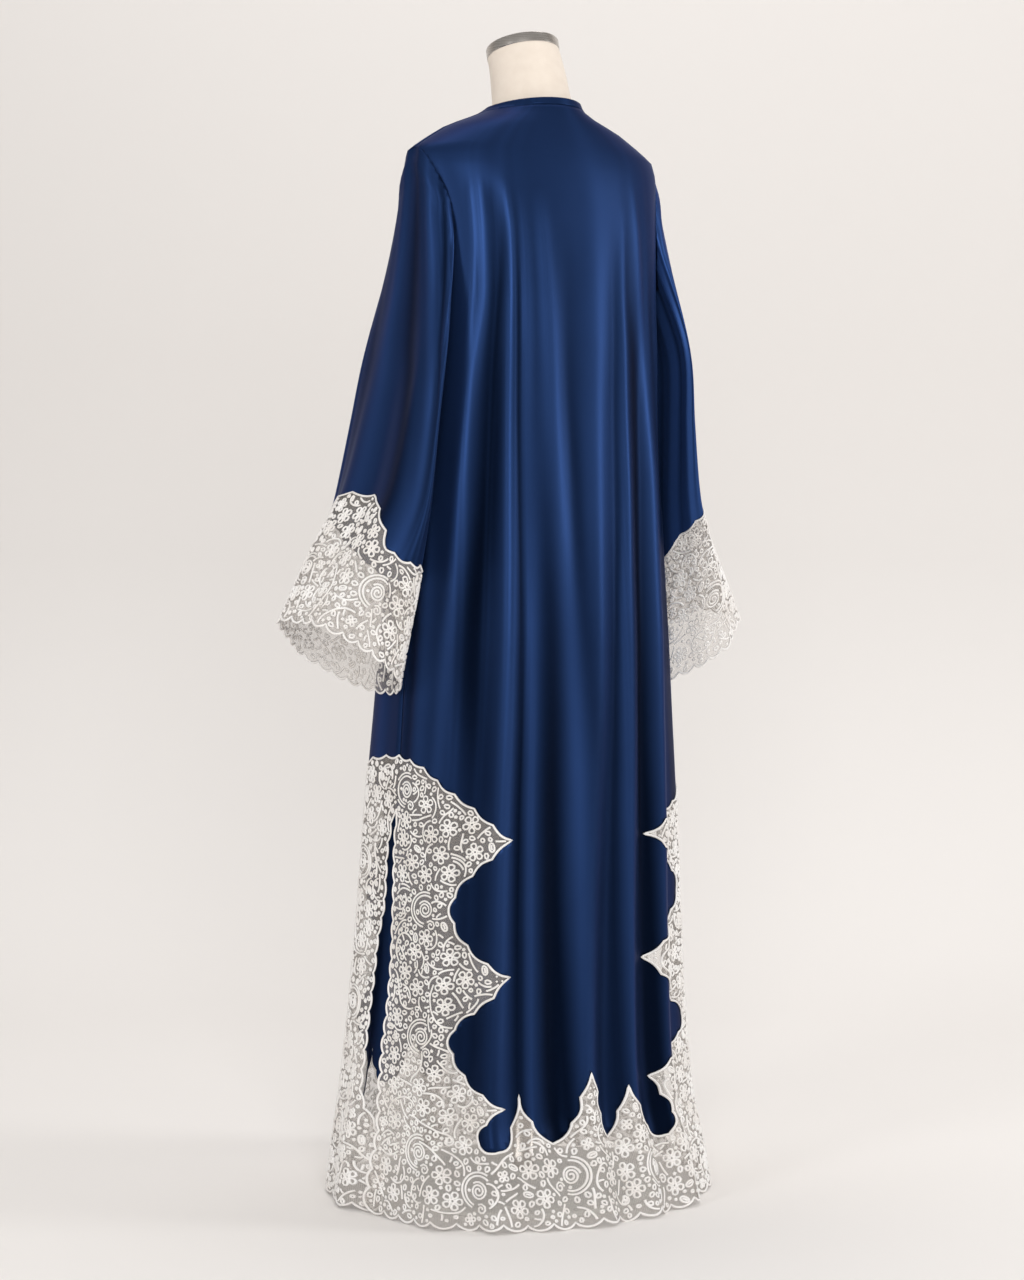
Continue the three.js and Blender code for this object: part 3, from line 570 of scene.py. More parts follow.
class BodyDrape:
    """Hangs the body's pieces: a tapering tube with folds."""

    per_degree = 3.2

    def face(self, turn: Points, height: Points) -> Points:
        """The body's outer face without its folds.

        Args:
            turn: Degrees from the centre back.
            height: Garment millimetres.

        Returns:
            One point for each place.
        """
        sine, cosine = np.sin(np.radians(turn)), np.cos(np.radians(turn))
        depth = np.where(cosine >= 0, BODY.at("back", height), BODY.at("front", height))
        square = BODY.at("square", height)
        corner = (np.abs(sine) ** square + np.abs(cosine) ** square) ** (-1 / square)
        return np.stack([BODY.at("half_width", height) * corner * sine, depth * corner * cosine, height], -1)

    def creases(self, turn: Points, height: Points) -> Points:
        """How far the fine creases lift the cloth."""
        wrapped = (turn + 180) % 360 - 180
        return sum(crease.relief(wrapped, height) for crease in BODY_CREASES)

    def relief(self, turn: Points, height: Points) -> Points:
        """How far the folds and creases lift the cloth."""
        wrapped = (turn + 180) % 360 - 180
        folds = sum(fold.relief(wrapped, height) for fold in FOLDS)
        return folds + self.creases(turn, height) * smoothstep(1330, 1270, height)

    def shade(self, flat: Points) -> Points:
        """Painted shade: how light the satin's colour is painted at flat places, from 0 in a deep fold to 1 on a ridge.
        """
        turn = flat[:, 0] / self.per_degree
        return BODY_SHADE.at("shade", flat[:, 1]) + SHADE_PER_MM * self.creases(turn, flat[:, 1])

    def hang(self, turn: Points, height: Points, out: Points) -> Points:
        """Garment millimetres of places that stand out from the cloth's outer face."""
        return offset_face(self.face, turn, height, out + self.relief(turn, height), 1)

    def place(self, flat: Points) -> Points:
        """Row-frame metres of flat places, given as across, along and out."""
        return in_row_frame(self.hang(flat[:, 0] / self.per_degree, flat[:, 1], flat[:, 2]))


@dataclass
class FrontDrape(BodyDrape):
    """Hangs a front: its edge tucks in at the slit's foot, and the right front is lifted over the left one."""

    laps: bool
    tuck: float = 9.0
    lap_rise: float = CLOTH + 1.3

    def hang(self, turn: Points, height: Points, out: Points) -> Points:
        """Garment millimetres of places on a front.

        Args:
            turn: Degrees from the centre back.
            height: Garment millimetres.
            out: Millimetres out of the cloth's outer face.

        Returns:
            One point for each place.
        """
        tucked = self.tuck * smoothstep(150, 95, height) * smoothstep(100, 93, np.abs(turn))
        from_centre = (180 + turn) * self.per_degree
        lift = self.lap_rise * smoothstep(60, 30, from_centre) if self.laps else 0
        return super().hang(turn, height, out - tucked + lift)


@dataclass
class SleeveDrape:
    """Hangs a sleeve: lines run from the armhole down through the rings to the cuff."""

    side: Side
    per_degree: float = 1.35
    ease: float = 3.2
    ease_at: float = 20
    ease_spread: float = 16
    body: BodyDrape = field(default_factory=BodyDrape)

    def head(self, turn: Points, out: Points) -> Points:
        """The sleeve's end of the armhole seam.

        Args:
            turn: Degrees from the sleeve's top line.
            out: Millimetres out of the cloth's outer face.

        Returns:
            One point for each turn, on the left side.
        """
        inset = SEAM + 0.3
        middle = (SHOULDER_TIP + ARMHOLE_BOTTOM) / 2
        rise = (SHOULDER_TIP - ARMHOLE_BOTTOM) / 2 - inset
        reach = ARMHOLE_REACH - inset / self.body.per_degree
        start = 90 - reach * np.sin(np.radians(turn))
        height = middle + rise * np.cos(np.radians(turn))
        clear = (SEAM + 0.2) * smoothstep(110, 170, np.abs(turn))
        return self.body.hang(start, height, out + clear)

    def lines(self, turn: Points) -> tuple[Points, Points]:
        """Each turn's line up the sleeve, as its knots' lengths and points.

        Args:
            turn: Degrees from the sleeve's top line.

        Returns:
            The lengths up the sleeve and the points, one row for each turn.
        """
        rings = [ring.at(turn) for ring in reversed(SLEEVE)]
        points = np.stack([*rings, self.head(turn, np.zeros(len(turn)))], 1)
        steps = np.linalg.norm(np.diff(points, axis=1), axis=2)
        lengths = np.concatenate([np.zeros((len(turn), 1)), np.cumsum(steps, axis=1)], axis=1)
        return lengths, points

    def top(self, turn: Points) -> Points:
        """The length from the cuff up to the armhole."""
        return self.lines(turn)[0][:, -1]

    def face(self, turn: Points, length: Points) -> Points:
        """The sleeve's outer face without its folds.

        Args:
            turn: Degrees from the sleeve's top line.
            length: Millimetres up the sleeve.

        Returns:
            One point for each place, on the left side.
        """
        lengths, points = self.lines(turn)
        on_line = np.stack([smooth_line(lengths, points[:, :, k], length) for k in range(3)], -1)
        below = np.minimum(length, 0) / lengths[:, 1]
        return on_line + (points[:, 1] - points[:, 0]) * below[:, None]

    def creases(self, turn: Points, length: Points) -> Points:
        """How far the fine creases lift the cloth."""
        wrapped = (turn + 180) % 360 - 180
        return sum(crease.relief(wrapped, length) for crease in SLEEVE_CREASES[self.side])

    def shade(self, flat: Points) -> Points:
        """Painted shade: how light the satin's colour is painted at flat places, from 0 in a deep fold to 1 on a ridge.
        """
        turn = flat[:, 0] / self.per_degree
        return SLEEVE_SHADE[self.side] + SHADE_PER_MM * self.creases(turn, flat[:, 1])

    def relief(self, turn: Points, length: Points) -> Points:
        """How far the folds and creases lift the cloth.

        Args:
            turn: Degrees from the sleeve's top line.
            length: Millimetres up the sleeve.

        Returns:
            Millimetres, one for each place.
        """
        out = self.creases(turn, length)
        for fold in SLEEVE_FOLDS:
            away = (turn - fold.at) / fold.spread
            out += fold.depth * smoothstep(fold.top, 120, length) * np.exp(-away * away)
        below = (self.top(turn) - length - self.ease_at) / self.ease_spread
        return out + self.ease * np.exp(-below * below) * smoothstep(110, 30, np.abs(turn))

    def hang(self, turn: Points, length: Points, out: Points) -> Points:
        """Garment millimetres of places that stand out from the cloth's outer face.

        Args:
            turn: Degrees from the sleeve's top line.
            length: Millimetres up the sleeve.
            out: Millimetres out of the cloth's outer face.

        Returns:
            One point for each place, on the sleeve's own side.
        """
        point = offset_face(self.face, turn, length, out + self.relief(turn, length), -1)
        top = self.top(turn)
        butted = smoothstep(0, 1, (length - top + 30) / 30) * smoothstep(100, 50, np.abs(turn))
        edge = self.head(turn, out) - self.head(turn, np.zeros(len(turn)))
        point += (self.face(turn, length) + edge - point) * butted[:, None]
        return point * np.array([self.side.value, 1, 1])

    def place(self, flat: Points) -> Points:
        """Row-frame metres of flat places, given as across, along and out."""
        return in_row_frame(self.hang(flat[:, 0] / self.per_degree, flat[:, 1], flat[:, 2]))


Drape = BodyDrape | SleeveDrape


def in_row_frame(garment: Points) -> Points:
    """Row-frame metres of garment millimetres."""
    return (garment + np.array([0, STAND_Y, 0])) * MM


# ---- Flat outlines ----


def curved(points: Iterable[Sequence[float]], sharp: float = 62, step: float = 3) -> list[Points]:
    """A smooth line through points that keeps its sharp corners.

    Args:
        points: flat places to go through.
        sharp: the line stays sharp where it turns by more than this, in degrees.
        step: distance between the made points.

    Returns:
        The smooth runs between the sharp corners.
    """
    knots = np.array(list(points), float)
    ahead = np.diff(knots, axis=0)
    angle = np.unwrap(np.arctan2(ahead[:, 1], ahead[:, 0]))
    turned = np.abs((np.diff(angle) + np.pi) % (2 * np.pi) - np.pi)
    corners = [0, *(np.nonzero(turned > math.radians(sharp))[0] + 1), len(knots) - 1]
    runs = []
    for first, last in zip(corners[:-1], corners[1:]):
        part = knots[first : last + 1]
        padded = np.vstack([2 * part[0] - part[1], part, 2 * part[-1] - part[-2]])
        run = [part[0]]
        for i in range(1, len(padded) - 2):
            count = max(2, round(float(np.linalg.norm(padded[i + 1] - padded[i])) / step))
            a, b, c, d = padded[i - 1 : i + 3]
            for t in np.arange(1, count + 1) / count:
                cubic = (3 * b - a - 3 * c + d) * t**3
                run.append(0.5 * (2 * b + (c - a) * t + (2 * a - 5 * b + 4 * c - d) * t**2 + cubic))
        runs.append(np.array(run))
    return runs


def resampled(run: Points, count: int) -> Points:
    """The same line as count even steps.

    Args:
        run: The line.
        count: How many steps.

    Returns:
        One point more than the steps.
    """
    lengths = np.concatenate([[0], np.cumsum(np.linalg.norm(np.diff(run, axis=0), axis=1))])
    at = np.linspace(0, lengths[-1], count + 1)
    return np.stack([np.interp(at, lengths, run[:, 0]), np.interp(at, lengths, run[:, 1])], -1)


def left_of(run: Points) -> Points:
    """Unit directions to the left of a line, at each of its points."""
    along = np.gradient(run, axis=0)
    sideways = np.stack([-along[:, 1], along[:, 0]], -1)
    return sideways / np.maximum(np.linalg.norm(sideways, axis=1, keepdims=True), 1e-9)


def scalloped(
    runs: Iterable[Points], pitch: float, depth: float, parts: int = 6, fullness: float = 0.75
) -> Points:
    """Puts scallops that bulge to the left on smooth runs, and joins the runs.

    Args:
        runs: smooth lines, each starting where the one before it ends.
        pitch: width of a scallop.
        depth: how far a scallop bulges.
        parts: points along each scallop.
        fullness: a lower number makes the scallops rounder and their corners sharper.

    Returns:
        One line.
    """
    made = []
    for run in runs:
        length = float(np.linalg.norm(np.diff(run, axis=0), axis=1).sum())
        count = max(1, round(length / pitch))
        line = resampled(run, count * parts)
        swell = np.abs(np.sin(np.pi * np.arange(len(line)) / parts)) ** fullness
        made.append((line + left_of(line) * (depth * swell)[:, None])[:-1])
    made.append(line[-1:])
    return np.vstack(made)


def flat_place(turn: float, height: float) -> tuple[float, float]:
    """The flat place of a body's turn and height."""
    return (turn * BodyDrape.per_degree, height)


def mirrored(line: Points) -> Points:
    """A line of the left half as the right half's, run backwards."""
    return (line * np.array([-1, 1]))[::-1]


@dataclass(frozen=True)
class Edging:
    """Sizes of the lace's edges: scallops of the free edge, and the bumps of the seam with the satin."""

    pitch: float = 24
    depth: float = 6.5
    slit_depth: float = 4
    bump_pitch: float = 32
    bump_depth: float = -3.8


EDGING = Edging()


def lace_seam(panel: Panel) -> Points:
    """The seam between satin and lace, from the left side round the back, or from a side to the centre front.

    Args:
        panel: The back or a front.

    Returns:
        The seam's flat points.
    """
    side = flat_place(*SIDE_TOP)
    if panel is Panel.BACK:
        ends = [side, *(flat_place(*p) for p in BACK_EDGE), (-side[0], side[1])]
        return scalloped(curved(ends), EDGING.bump_pitch, -EDGING.bump_depth, 9, 1)
    ends = [side, *(flat_place(*p) for p in FRONT_EDGE)]
    ends.append((ends[-1][0] + LAP_PAST, ends[-1][1] + 6))
    return scalloped(curved(ends), EDGING.bump_pitch, EDGING.bump_depth, 9, 1)


def slit_edge(panel: Panel) -> Points:
    """The slit's scalloped edge, from its top down to the hem.

    Args:
        panel: The back or a front.

    Returns:
        The edge's flat points.
    """
    outwards = 1 if panel is Panel.BACK else -1
    heights = np.linspace(SCALLOPS_TOP, HEM, 40)
    across = SLIT.at(panel.value, heights) * BodyDrape.per_degree - outwards * EDGING.slit_depth
    run = scalloped([np.stack([across, heights], -1)], EDGING.pitch, outwards * EDGING.slit_depth, parts=8)
    return np.vstack([[flat_place(SIDE_TOP[0], SLIT_TOP)], run])


def hem_edge(start: float, end: float) -> Points:
    """The scalloped hem between two places across, bulging down."""
    run = np.array([[start, HEM], [end, HEM]])
    return scalloped([run], EDGING.pitch, EDGING.depth * (1 if start > end else -1), parts=8)


def armhole_edge(panel: Panel) -> Points:
    """Half of the left armhole, from the underarm to the shoulder.

    Args:
        panel: The back or a front.

    Returns:
        The edge's flat points.
    """
    share = np.linspace(0, 1, 37)
    turn = np.radians(180 - 180 * share if panel is Panel.BACK else 180 + 180 * share)
    middle = (SHOULDER_TIP + ARMHOLE_BOTTOM) / 2
    rise = (SHOULDER_TIP - ARMHOLE_BOTTOM) / 2 - ARMHOLE_OVERLAP
    across = 90 * BodyDrape.per_degree - (ARMHOLE_REACH * BodyDrape.per_degree - ARMHOLE_OVERLAP) * np.sin(turn)
    return np.stack([across, middle + rise * np.cos(turn)], -1)


def neck_height(turn: Points) -> Points:
    """The neckline's height at a turn from the centre back.

    Args:
        turn: Degrees from the centre back.

    Returns:
        One height for each turn.
    """
    away = np.abs(turn)
    cosine = np.cos(np.radians(away))
    return np.where(
        away <= 90,
        NECK_SIDE + BACK_NECK_RISE * cosine,
        NECK_SIDE - FRONT_NECK_DROP * np.maximum(-cosine, 0) ** 1.5,
    )


def neck_edge(panel: Panel, past: float = 0) -> Points:
    """The neckline from the left shoulder to the panel's centre, or a lap past it.

    Args:
        panel: The back or a front.
        past: Millimetres that its end goes past the centre line.

    Returns:
        The edge's flat points.
    """
    share = np.linspace(0, 1, 37)
    turn = 90 * (1 - share) if panel is Panel.BACK else 90 + 90 * share
    line = np.stack([turn * BodyDrape.per_degree, neck_height(turn)], -1)
    line[-1, 0] += past
    return line


# ---- Cutting and draping ----


def cut_flat(outline: Points, column: float, row: float) -> bmesh.types.BMesh:
    """A flat cloth cut to an outline and split by a grid, so that it can bend.

    Args:
        outline: the closed outline, in flat millimetres.
        column: width of the grid's cells.
        row: height of the grid's cells.

    Returns:
        The flat mesh.
    """
    bm = bmesh.new()
    bm.faces.new([bm.verts.new((x, y, 0)) for x, y in outline])
    low, high = outline.min(0), outline.max(0)
    for axis, step in ((0, column), (1, row)):
        live = list(bm.faces)
        for at in np.arange(math.floor(low[axis] / step) * step + step, high[axis], step):
            edges = {edge for face in live for edge in face.edges}
            corners = {corner for face in live for corner in face.verts}
            plane = Vector((at, 0, 0)) if axis == 0 else Vector((0, at, 0))
            normal = Vector((1, 0, 0)) if axis == 0 else Vector((0, 1, 0))
            got = bmesh.ops.bisect_plane(
                bm, geom=[*live, *edges, *corners], plane_co=plane, plane_no=normal, dist=1e-5
            )
            faces = {item for item in got["geom"] if isinstance(item, bmesh.types.BMFace)}
            faces |= {face for face in live if face.is_valid}
            live = [face for face in faces if max(corner.co[axis] for corner in face.verts) > at + 1e-4]
            if not live:
                break
    return bm


def smooth_shaded(mesh: bpy.types.Mesh) -> None:
    """Shades every face of a mesh smooth."""
    mesh.polygons.foreach_set("use_smooth", np.ones(len(mesh.polygons), bool))


def corners_of(mesh: bpy.types.Mesh) -> Points:
    """A mesh's corners as rows."""
    co = np.empty(len(mesh.vertices) * 3, np.float32)
    mesh.vertices.foreach_get("co", co)
    return co.reshape(-1, 3).astype(float)


def put_corners(mesh: bpy.types.Mesh, places: Points) -> None:
    """Moves a mesh's corners."""
    mesh.vertices.foreach_set("co", places.astype(np.float32).ravel())
    mesh.update()


def flat_uv(mesh: bpy.types.Mesh, flat: Points) -> None:
    """Gives a mesh its flat places, in metres, as its UV map.

    Args:
        mesh: The cloth's mesh.
        flat: A flat place for each of its corners.
    """
    layer = mesh.uv_layers.new(name="UVMap")
    index = np.empty(len(mesh.loops), np.int32)
    mesh.loops.foreach_get("vertex_index", index)
    layer.uv.foreach_set("vector", (flat[index, :2] * MM).astype(np.float32).ravel())


def link(name: str, mesh: bpy.types.Mesh) -> bpy.types.Object:
    """A new object of the scene with a mesh.

    Args:
        name: The object's and the mesh's name.
        mesh: Its mesh.

    Returns:
        The object.
    """
    mesh.name = name
    piece = bpy.data.objects.new(name, mesh)
    bpy.context.scene.collection.objects.link(piece)
    return piece


@dataclass(frozen=True)
class Cut:
    """What a sheet was cut to, in metres and square metres."""

    width: float
    length: float
    area: float


@dataclass
class ClothPiece:
    """One cut piece of cloth: its outline, how it hangs and how thick it is."""

    name: str
    outline: Points
    drape: Drape
    cut: Cut
    column: float = 4.8
    row: float = 8.0
    thickness: float = 0.5
    sunk: float = 0.35
    edge_roll: float = 0.5

    def build(self) -> bpy.types.Object:
        """Cuts, drapes and thickens the cloth.

        Returns:
            The piece, with its flat places as its UV map.
        """
        bm = cut_flat(self.outline, self.column, self.row)
        edge = np.array([corner.is_boundary for corner in bm.verts])
        mesh = bpy.data.meshes.new(self.name)
        bm.to_mesh(mesh)
        bm.free()
        flat = corners_of(mesh)
        flat[:, 2] = -self.sunk - np.where(edge, self.edge_roll, 0)
        flat_uv(mesh, flat)
        # The painted shade for the satin's colour is kept as the shade attribute.
        shade = mesh.attributes.new("shade", "FLOAT", "POINT")
        shade.data.foreach_set("value", self.drape.shade(flat).astype(np.float32))
        put_corners(mesh, self.drape.place(flat))
        if self.flips():
            mesh.flip_normals()
        smooth_shaded(mesh)
        piece = link(self.name, mesh)
        shell = piece.modifiers.new("wall", "SOLIDIFY")
        shell.thickness = self.thickness * MM
        shell.offset = -1
        shell.use_even_offset = False
        return piece

    def flips(self) -> bool:
        """Whether draping turns the flat cloth's face inwards."""
        x, y = self.outline.mean(0)
        flat = np.array([[x, y, 0], [x + 1, y, 0], [x, y + 1, 0], [x, y, 1]])
        at = self.drape.place(flat)
        return bool(np.dot(np.cross(at[1] - at[0], at[2] - at[0]), at[3] - at[0]) < 0)


# ---- Lace motifs: strokes of cord, round their own middle, in millimetres ----


def arc(radius: float, start: float, end: float, step: float = 2.4, middle: Sequence[float] = (0, 0)) -> Points:
    """An arc of cord, from one angle to another, in degrees.

    Args:
        radius: Of the arc.
        start: Its first angle.
        end: Its last angle.
        step: From one point to the next, in millimetres.
        middle: The arc's middle.

    Returns:
        The arc's points.
    """
    count = max(4, round(abs(math.radians(end - start)) * radius / step))
    angle = np.radians(np.linspace(start, end, count + 1))
    return np.stack([middle[0] + radius * np.cos(angle), middle[1] + radius * np.sin(angle)], -1)


def loop(length: float, width: float, start: float, angle: float, count: int = 8) -> Stroke:
    """A closed petal that points outwards from a start distance, at an angle in degrees.

    Args:
        length: From the foot to the tip.
        width: Across the petal.
        start: From the middle of the flower to the petal's foot.
        angle: Where the petal points.
        count: How many points it has.

    Returns:
        The petal's stroke.
    """
    around = np.linspace(0, 2 * math.pi, count, endpoint=False)
    along = start + length * (0.5 - 0.5 * np.cos(around))
    across = width / 2 * np.sin(around) * (0.75 + 0.25 * (along - start) / length * 2)
    turn = math.radians(angle)
    x = along * math.cos(turn) - across * math.sin(turn)
    y = along * math.sin(turn) + across * math.cos(turn)
    return np.stack([x, y], -1), True


def ring(radius: float) -> Stroke:
    """A closed ring."""
    return arc(radius, 0, 315, step=radius * 0.75), True


def flower(petals: int = 5, petal: float = 7.5) -> list[Stroke]:
    """A flower of looped petals round a ring."""
    made = [ring(2.4)]
    for k in range(petals):
        made.append(loop(petal, petal * 0.9, 3.4, 360 * k / petals + 90))
    return made


def small_flower() -> list[Stroke]:
    """A flower of four small petals."""
    return [loop(5.2, 4.6, 1.4, 90 * k + 45, 7) for k in range(4)]


def ribbed_leaf(length: float = 24, width: float = 15) -> list[Stroke]:
    """A large pointed leaf with a middle rib and slanted side ribs.

    Args:
        length: From stalk to tip.
        width: Across the leaf.

    Returns:
        The outline, the middle rib and the side ribs.
    """
    outline, _ = leaf(length, width)[0]
    made: list[Stroke] = [(outline, True), (np.array([[-length * 0.38, 0], [0, 0], [length * 0.34, 0]]), False)]
    for at in (-0.2, 0.0, 0.2):
        reach = width * (0.36 - abs(at) * 0.5)
        for side in (-1, 1):
            foot = np.array([length * at - 2, side * 2.4])
            tip = foot + [reach * 0.7, side * reach * 0.55]
            made.append((np.array([foot, (foot + tip) / 2, tip]), False))
    return made


def leaf(length: float = 14, width: float = 7) -> list[Stroke]:
    """A pointed leaf with its rib.

    Args:
        length: From stalk to tip.
        width: Across the leaf.

    Returns:
        The outline and the rib.
    """
    t = np.linspace(0, math.pi, 7)
    half = np.stack([length * (0.5 - 0.5 * np.cos(t)), width / 2 * np.sin(t) ** 0.9], -1)
    outline = np.vstack([half, (half * [1, -1])[-2:0:-1]]) - [length / 2, 0]
    rib = np.array([[-length * 0.3, 0], [0, 0.4], [length * 0.28, 0]])
    return [(outline, True), (rib, False)]


def bud(length: float = 6.5, width: float = 4.6) -> list[Stroke]:
    """A small looped bud."""
    points, closed = loop(length, width, -length / 2, 0, 7)
    return [(points, closed)]


def bud_shoot() -> list[Stroke]:
    """A small looped bud that stands off its stem."""
    return [loop(6.4, 4.6, 1.6, 0, 7)]


def leaf_shoot() -> list[Stroke]:
    """A short bent twig that stands off its stem."""
    t = np.linspace(0, 1, 5)
    return [(np.stack([2.2 + 7 * t, 2.6 * t * t], -1), False)]


def dot() -> list[Stroke]:
    """A small ring that reads as a dot."""
    return [(arc(1.3, 0, 270, step=1.5), True)]


def curl(turns: float = 1.6, outer: float = 7.5) -> list[Stroke]:
    """A spiral with a short tail.

    Args:
        turns: How often it goes round.
        outer: Its largest radius.

    Returns:
        The one stroke.
    """
    count = max(10, round(turns * outer * math.pi / 2.3))
    t = np.linspace(0, 1, count)
    radius = 1.2 + (outer - 1.2) * t**0.85
    angle = 2 * math.pi * turns * t
    return [(np.stack([radius * np.cos(angle), radius * np.sin(angle)], -1), False)]


def scroll(size: float = 1.0) -> list[Stroke]:
    """A spiral inside two sweeping crescents, with a smaller curl at their foot and buds outside.

    Args:
        size: Times the usual size.

    Returns:
        All its strokes.
    """
    made = curl(2.4, 11 * size)
    made.append((arc(17.5 * size, 60, 265), False))
    made.append((arc(21.5 * size, 72, 262), False))
    foot, _ = curl(1.4, 6.5 * size)[0]
    made.append((foot + [9 * size, -19 * size], False))
    for angle in range(80, 260, 26):
        points, closed = loop(6.5 * size, 5 * size, 24.5 * size, angle, 7)
        made.append((points, closed))
    return made


def turned(
    strokes: list[Stroke], angle: float, at: Sequence[float], wide: float = 1.0, flip: bool = False
) -> list[Stroke]:
    """Strokes turned about their middle and put at a place.

    Args:
        strokes: the motif.
        angle: how far it is turned, in degrees.
        at: where its middle goes.
        wide: how much narrower it is laid across, where the cloth hangs wider than it lies flat.
        flip: whether it is mirrored first.

    Returns:
        The placed motif.
    """
    turn = math.radians(angle)
    matrix = np.array([[math.cos(turn), -math.sin(turn)], [math.sin(turn), math.cos(turn)]])
    made = []
    for points, closed in strokes:
        own = points * [-1, 1] if flip else points
        made.append(((own @ matrix.T) / [wide, 1] + np.asarray(at, float), closed))
    return made


class LaceDrawing:
    """The cord of one flat piece of lace: motifs that keep a little clear of each other."""

    cell = 1.0
    clear = 2.75
    # Fine cord stays this far inside the lace's outline.
    inset = 2.6

    def __init__(self, outline: Points, drape: Drape, seed: int) -> None:
        """Marks the lace's own area on a fine grid.

        Args:
            outline: the closed outline of the lace.
            drape: how it hangs, for the motifs' widths.
            seed: of the scattered motifs.
        """
        self.outline = outline
        self.drape = drape
        self.random = np.random.default_rng(seed)
        self.low = outline.min(0) - 6
        size = np.ceil((outline.max(0) + 6 - self.low) / self.cell).astype(int)
        self.inside = np.zeros(size, bool)
        self._fill()
        self.free = self.inside.copy()
        for shift in self._disc(self.inset):
            self.free &= np.roll(self.inside, tuple(shift), (0, 1))
        self.taken = np.zeros(size, bool)
        self.disc = self._disc(self.clear)
        self.strokes: list[Stroke] = []
        self.heavy: list[Stroke] = []

    def _fill(self) -> None:
        """Fills the outline's inside, one column of cells at a time."""
        start, end = self.outline, np.roll(self.outline, -1, axis=0)
        for i in range(self.inside.shape[0]):
            x = self.low[0] + (i + 0.5) * self.cell
            crosses = (start[:, 0] > x) != (end[:, 0] > x)
            a, b = start[crosses], end[crosses]
            y = np.sort(a[:, 1] + (x - a[:, 0]) * (b[:, 1] - a[:, 1]) / (b[:, 0] - a[:, 0]))
            for first, last in zip(y[::2], y[1::2]):
                j = ((np.array([first, last]) - self.low[1]) / self.cell).astype(int)
                self.inside[i, j[0] : j[1] + 1] = True

    def _disc(self, radius: float) -> Points:
        """The cells of a disc, as shifts."""
        reach = int(radius / self.cell) + 1
        grid = np.stack(np.meshgrid(np.arange(-reach, reach + 1), np.arange(-reach, reach + 1)), -1).reshape(-1, 2)
        return grid[np.hypot(*(grid * self.cell).T) <= radius]

    def _cells(self, points: Points) -> Points:
        """The cells that points lie in."""
        cells = ((points - self.low) / self.cell).astype(int)
        return np.clip(cells, 0, np.array(self.inside.shape) - 1)

    def _dense(self, stroke: Stroke) -> Points:
        """A stroke's points with one more between each two."""
        points, closed = stroke
        ahead = np.roll(points, -1, axis=0) if closed else points[1:]
        return np.vstack([points, (points[: len(ahead)] + ahead) / 2])

    def lay(self, strokes: list[Stroke], heavy: bool = False) -> None:
        """Lays strokes down, whatever is there.

        Args:
            strokes: What is laid.
            heavy: Whether it is thick cord.
        """
        for stroke in strokes:
            (self.heavy if heavy else self.strokes).append(stroke)
            cells = (self._cells(self._dense(stroke))[:, None] + self.disc).reshape(-1, 2)
            cells = np.clip(cells, 0, np.array(self.inside.shape) - 1)
            self.taken[cells[:, 0], cells[:, 1]] = True

    def fits(self, strokes: list[Stroke]) -> bool:
        """Whether strokes lie inside the lace and clear of what is there.

        Args:
            strokes: What should be laid.

        Returns:
            Whether all of it has room.
        """
        for stroke in strokes:
            cells = self._cells(stroke[0])
            x, y = cells[:, 0], cells[:, 1]
            if not self.free[x, y].all() or self.taken[x, y].any():
                return False
        return True

    def lay_fitting(self, strokes: list[Stroke]) -> None:
        """Lays those of the strokes that fit, and what fits of the open ones.

        Args:
            strokes: What should be laid.
        """
        for points, closed in strokes:
            if closed:
                if self.fits([(points, closed)]):
                    self.lay([(points, closed)])
                continue
            cells = self._cells(points)
            good = self.free[cells[:, 0], cells[:, 1]] & ~self.taken[cells[:, 0], cells[:, 1]]
            edges = np.flatnonzero(np.diff(np.concatenate([[0], good.astype(int), [0]])))
            for first, last in zip(edges[::2], edges[1::2]):
                if last - first >= 3:
                    self.lay([(points[first:last], False)])

    def wide_at(self, places: Points) -> Points:
        """How much wider the cloth hangs than it lies flat.

        Args:
            places: Flat places.

        Returns:
            One ratio for each place.
        """
        ahead = np.column_stack([places + [1, 0], np.zeros(len(places))])
        behind = np.column_stack([places - [1, 0], np.zeros(len(places))])
        face = self.drape.face
        per = self.drape.per_degree
        gap = face(ahead[:, 0] / per, ahead[:, 1]) - face(behind[:, 0] / per, behind[:, 1])
        return np.clip(np.linalg.norm(gap, axis=1) / 2, 0.7, 1.4)

    def put(self, motif: list[Stroke], at: Sequence[float], angle: float = 0, flip: bool = False) -> None:
        """Lays a motif at a given place, as far as it fits."""
        wide = float(self.wide_at(np.array([at], float))[0])
        self.lay_fitting(turned(motif, angle, at, wide, flip))

    def scatter(self, motif: Callable[[], list[Stroke]], per_tile: float, tile: float = 10.0) -> None:
        """Tries a motif at many seeded places.

        Args:
            motif: makes the motif.
            per_tile: tries for each square tile of the lace.
            tile: a tile's side.
        """
        open_cells = np.argwhere(self.free & ~self.taken)
        tries = int(per_tile * len(open_cells) * self.cell**2 / tile**2)
        if not tries or not len(open_cells):
            return
        picked = open_cells[self.random.integers(0, len(open_cells), tries)]
        places = self.low + (picked + 0.5) * self.cell
        wide = self.wide_at(places)
        angles = self.random.uniform(0, 360, tries)
        flips = self.random.random(tries) < 0.5
        for cell, place, width, angle, flip in zip(picked, places, wide, angles, flips):
            if self.taken[cell[0], cell[1]]:
                continue
            strokes = turned(motif(), float(angle), place, float(width), bool(flip))
            if self.fits(strokes):
                self.lay(strokes)

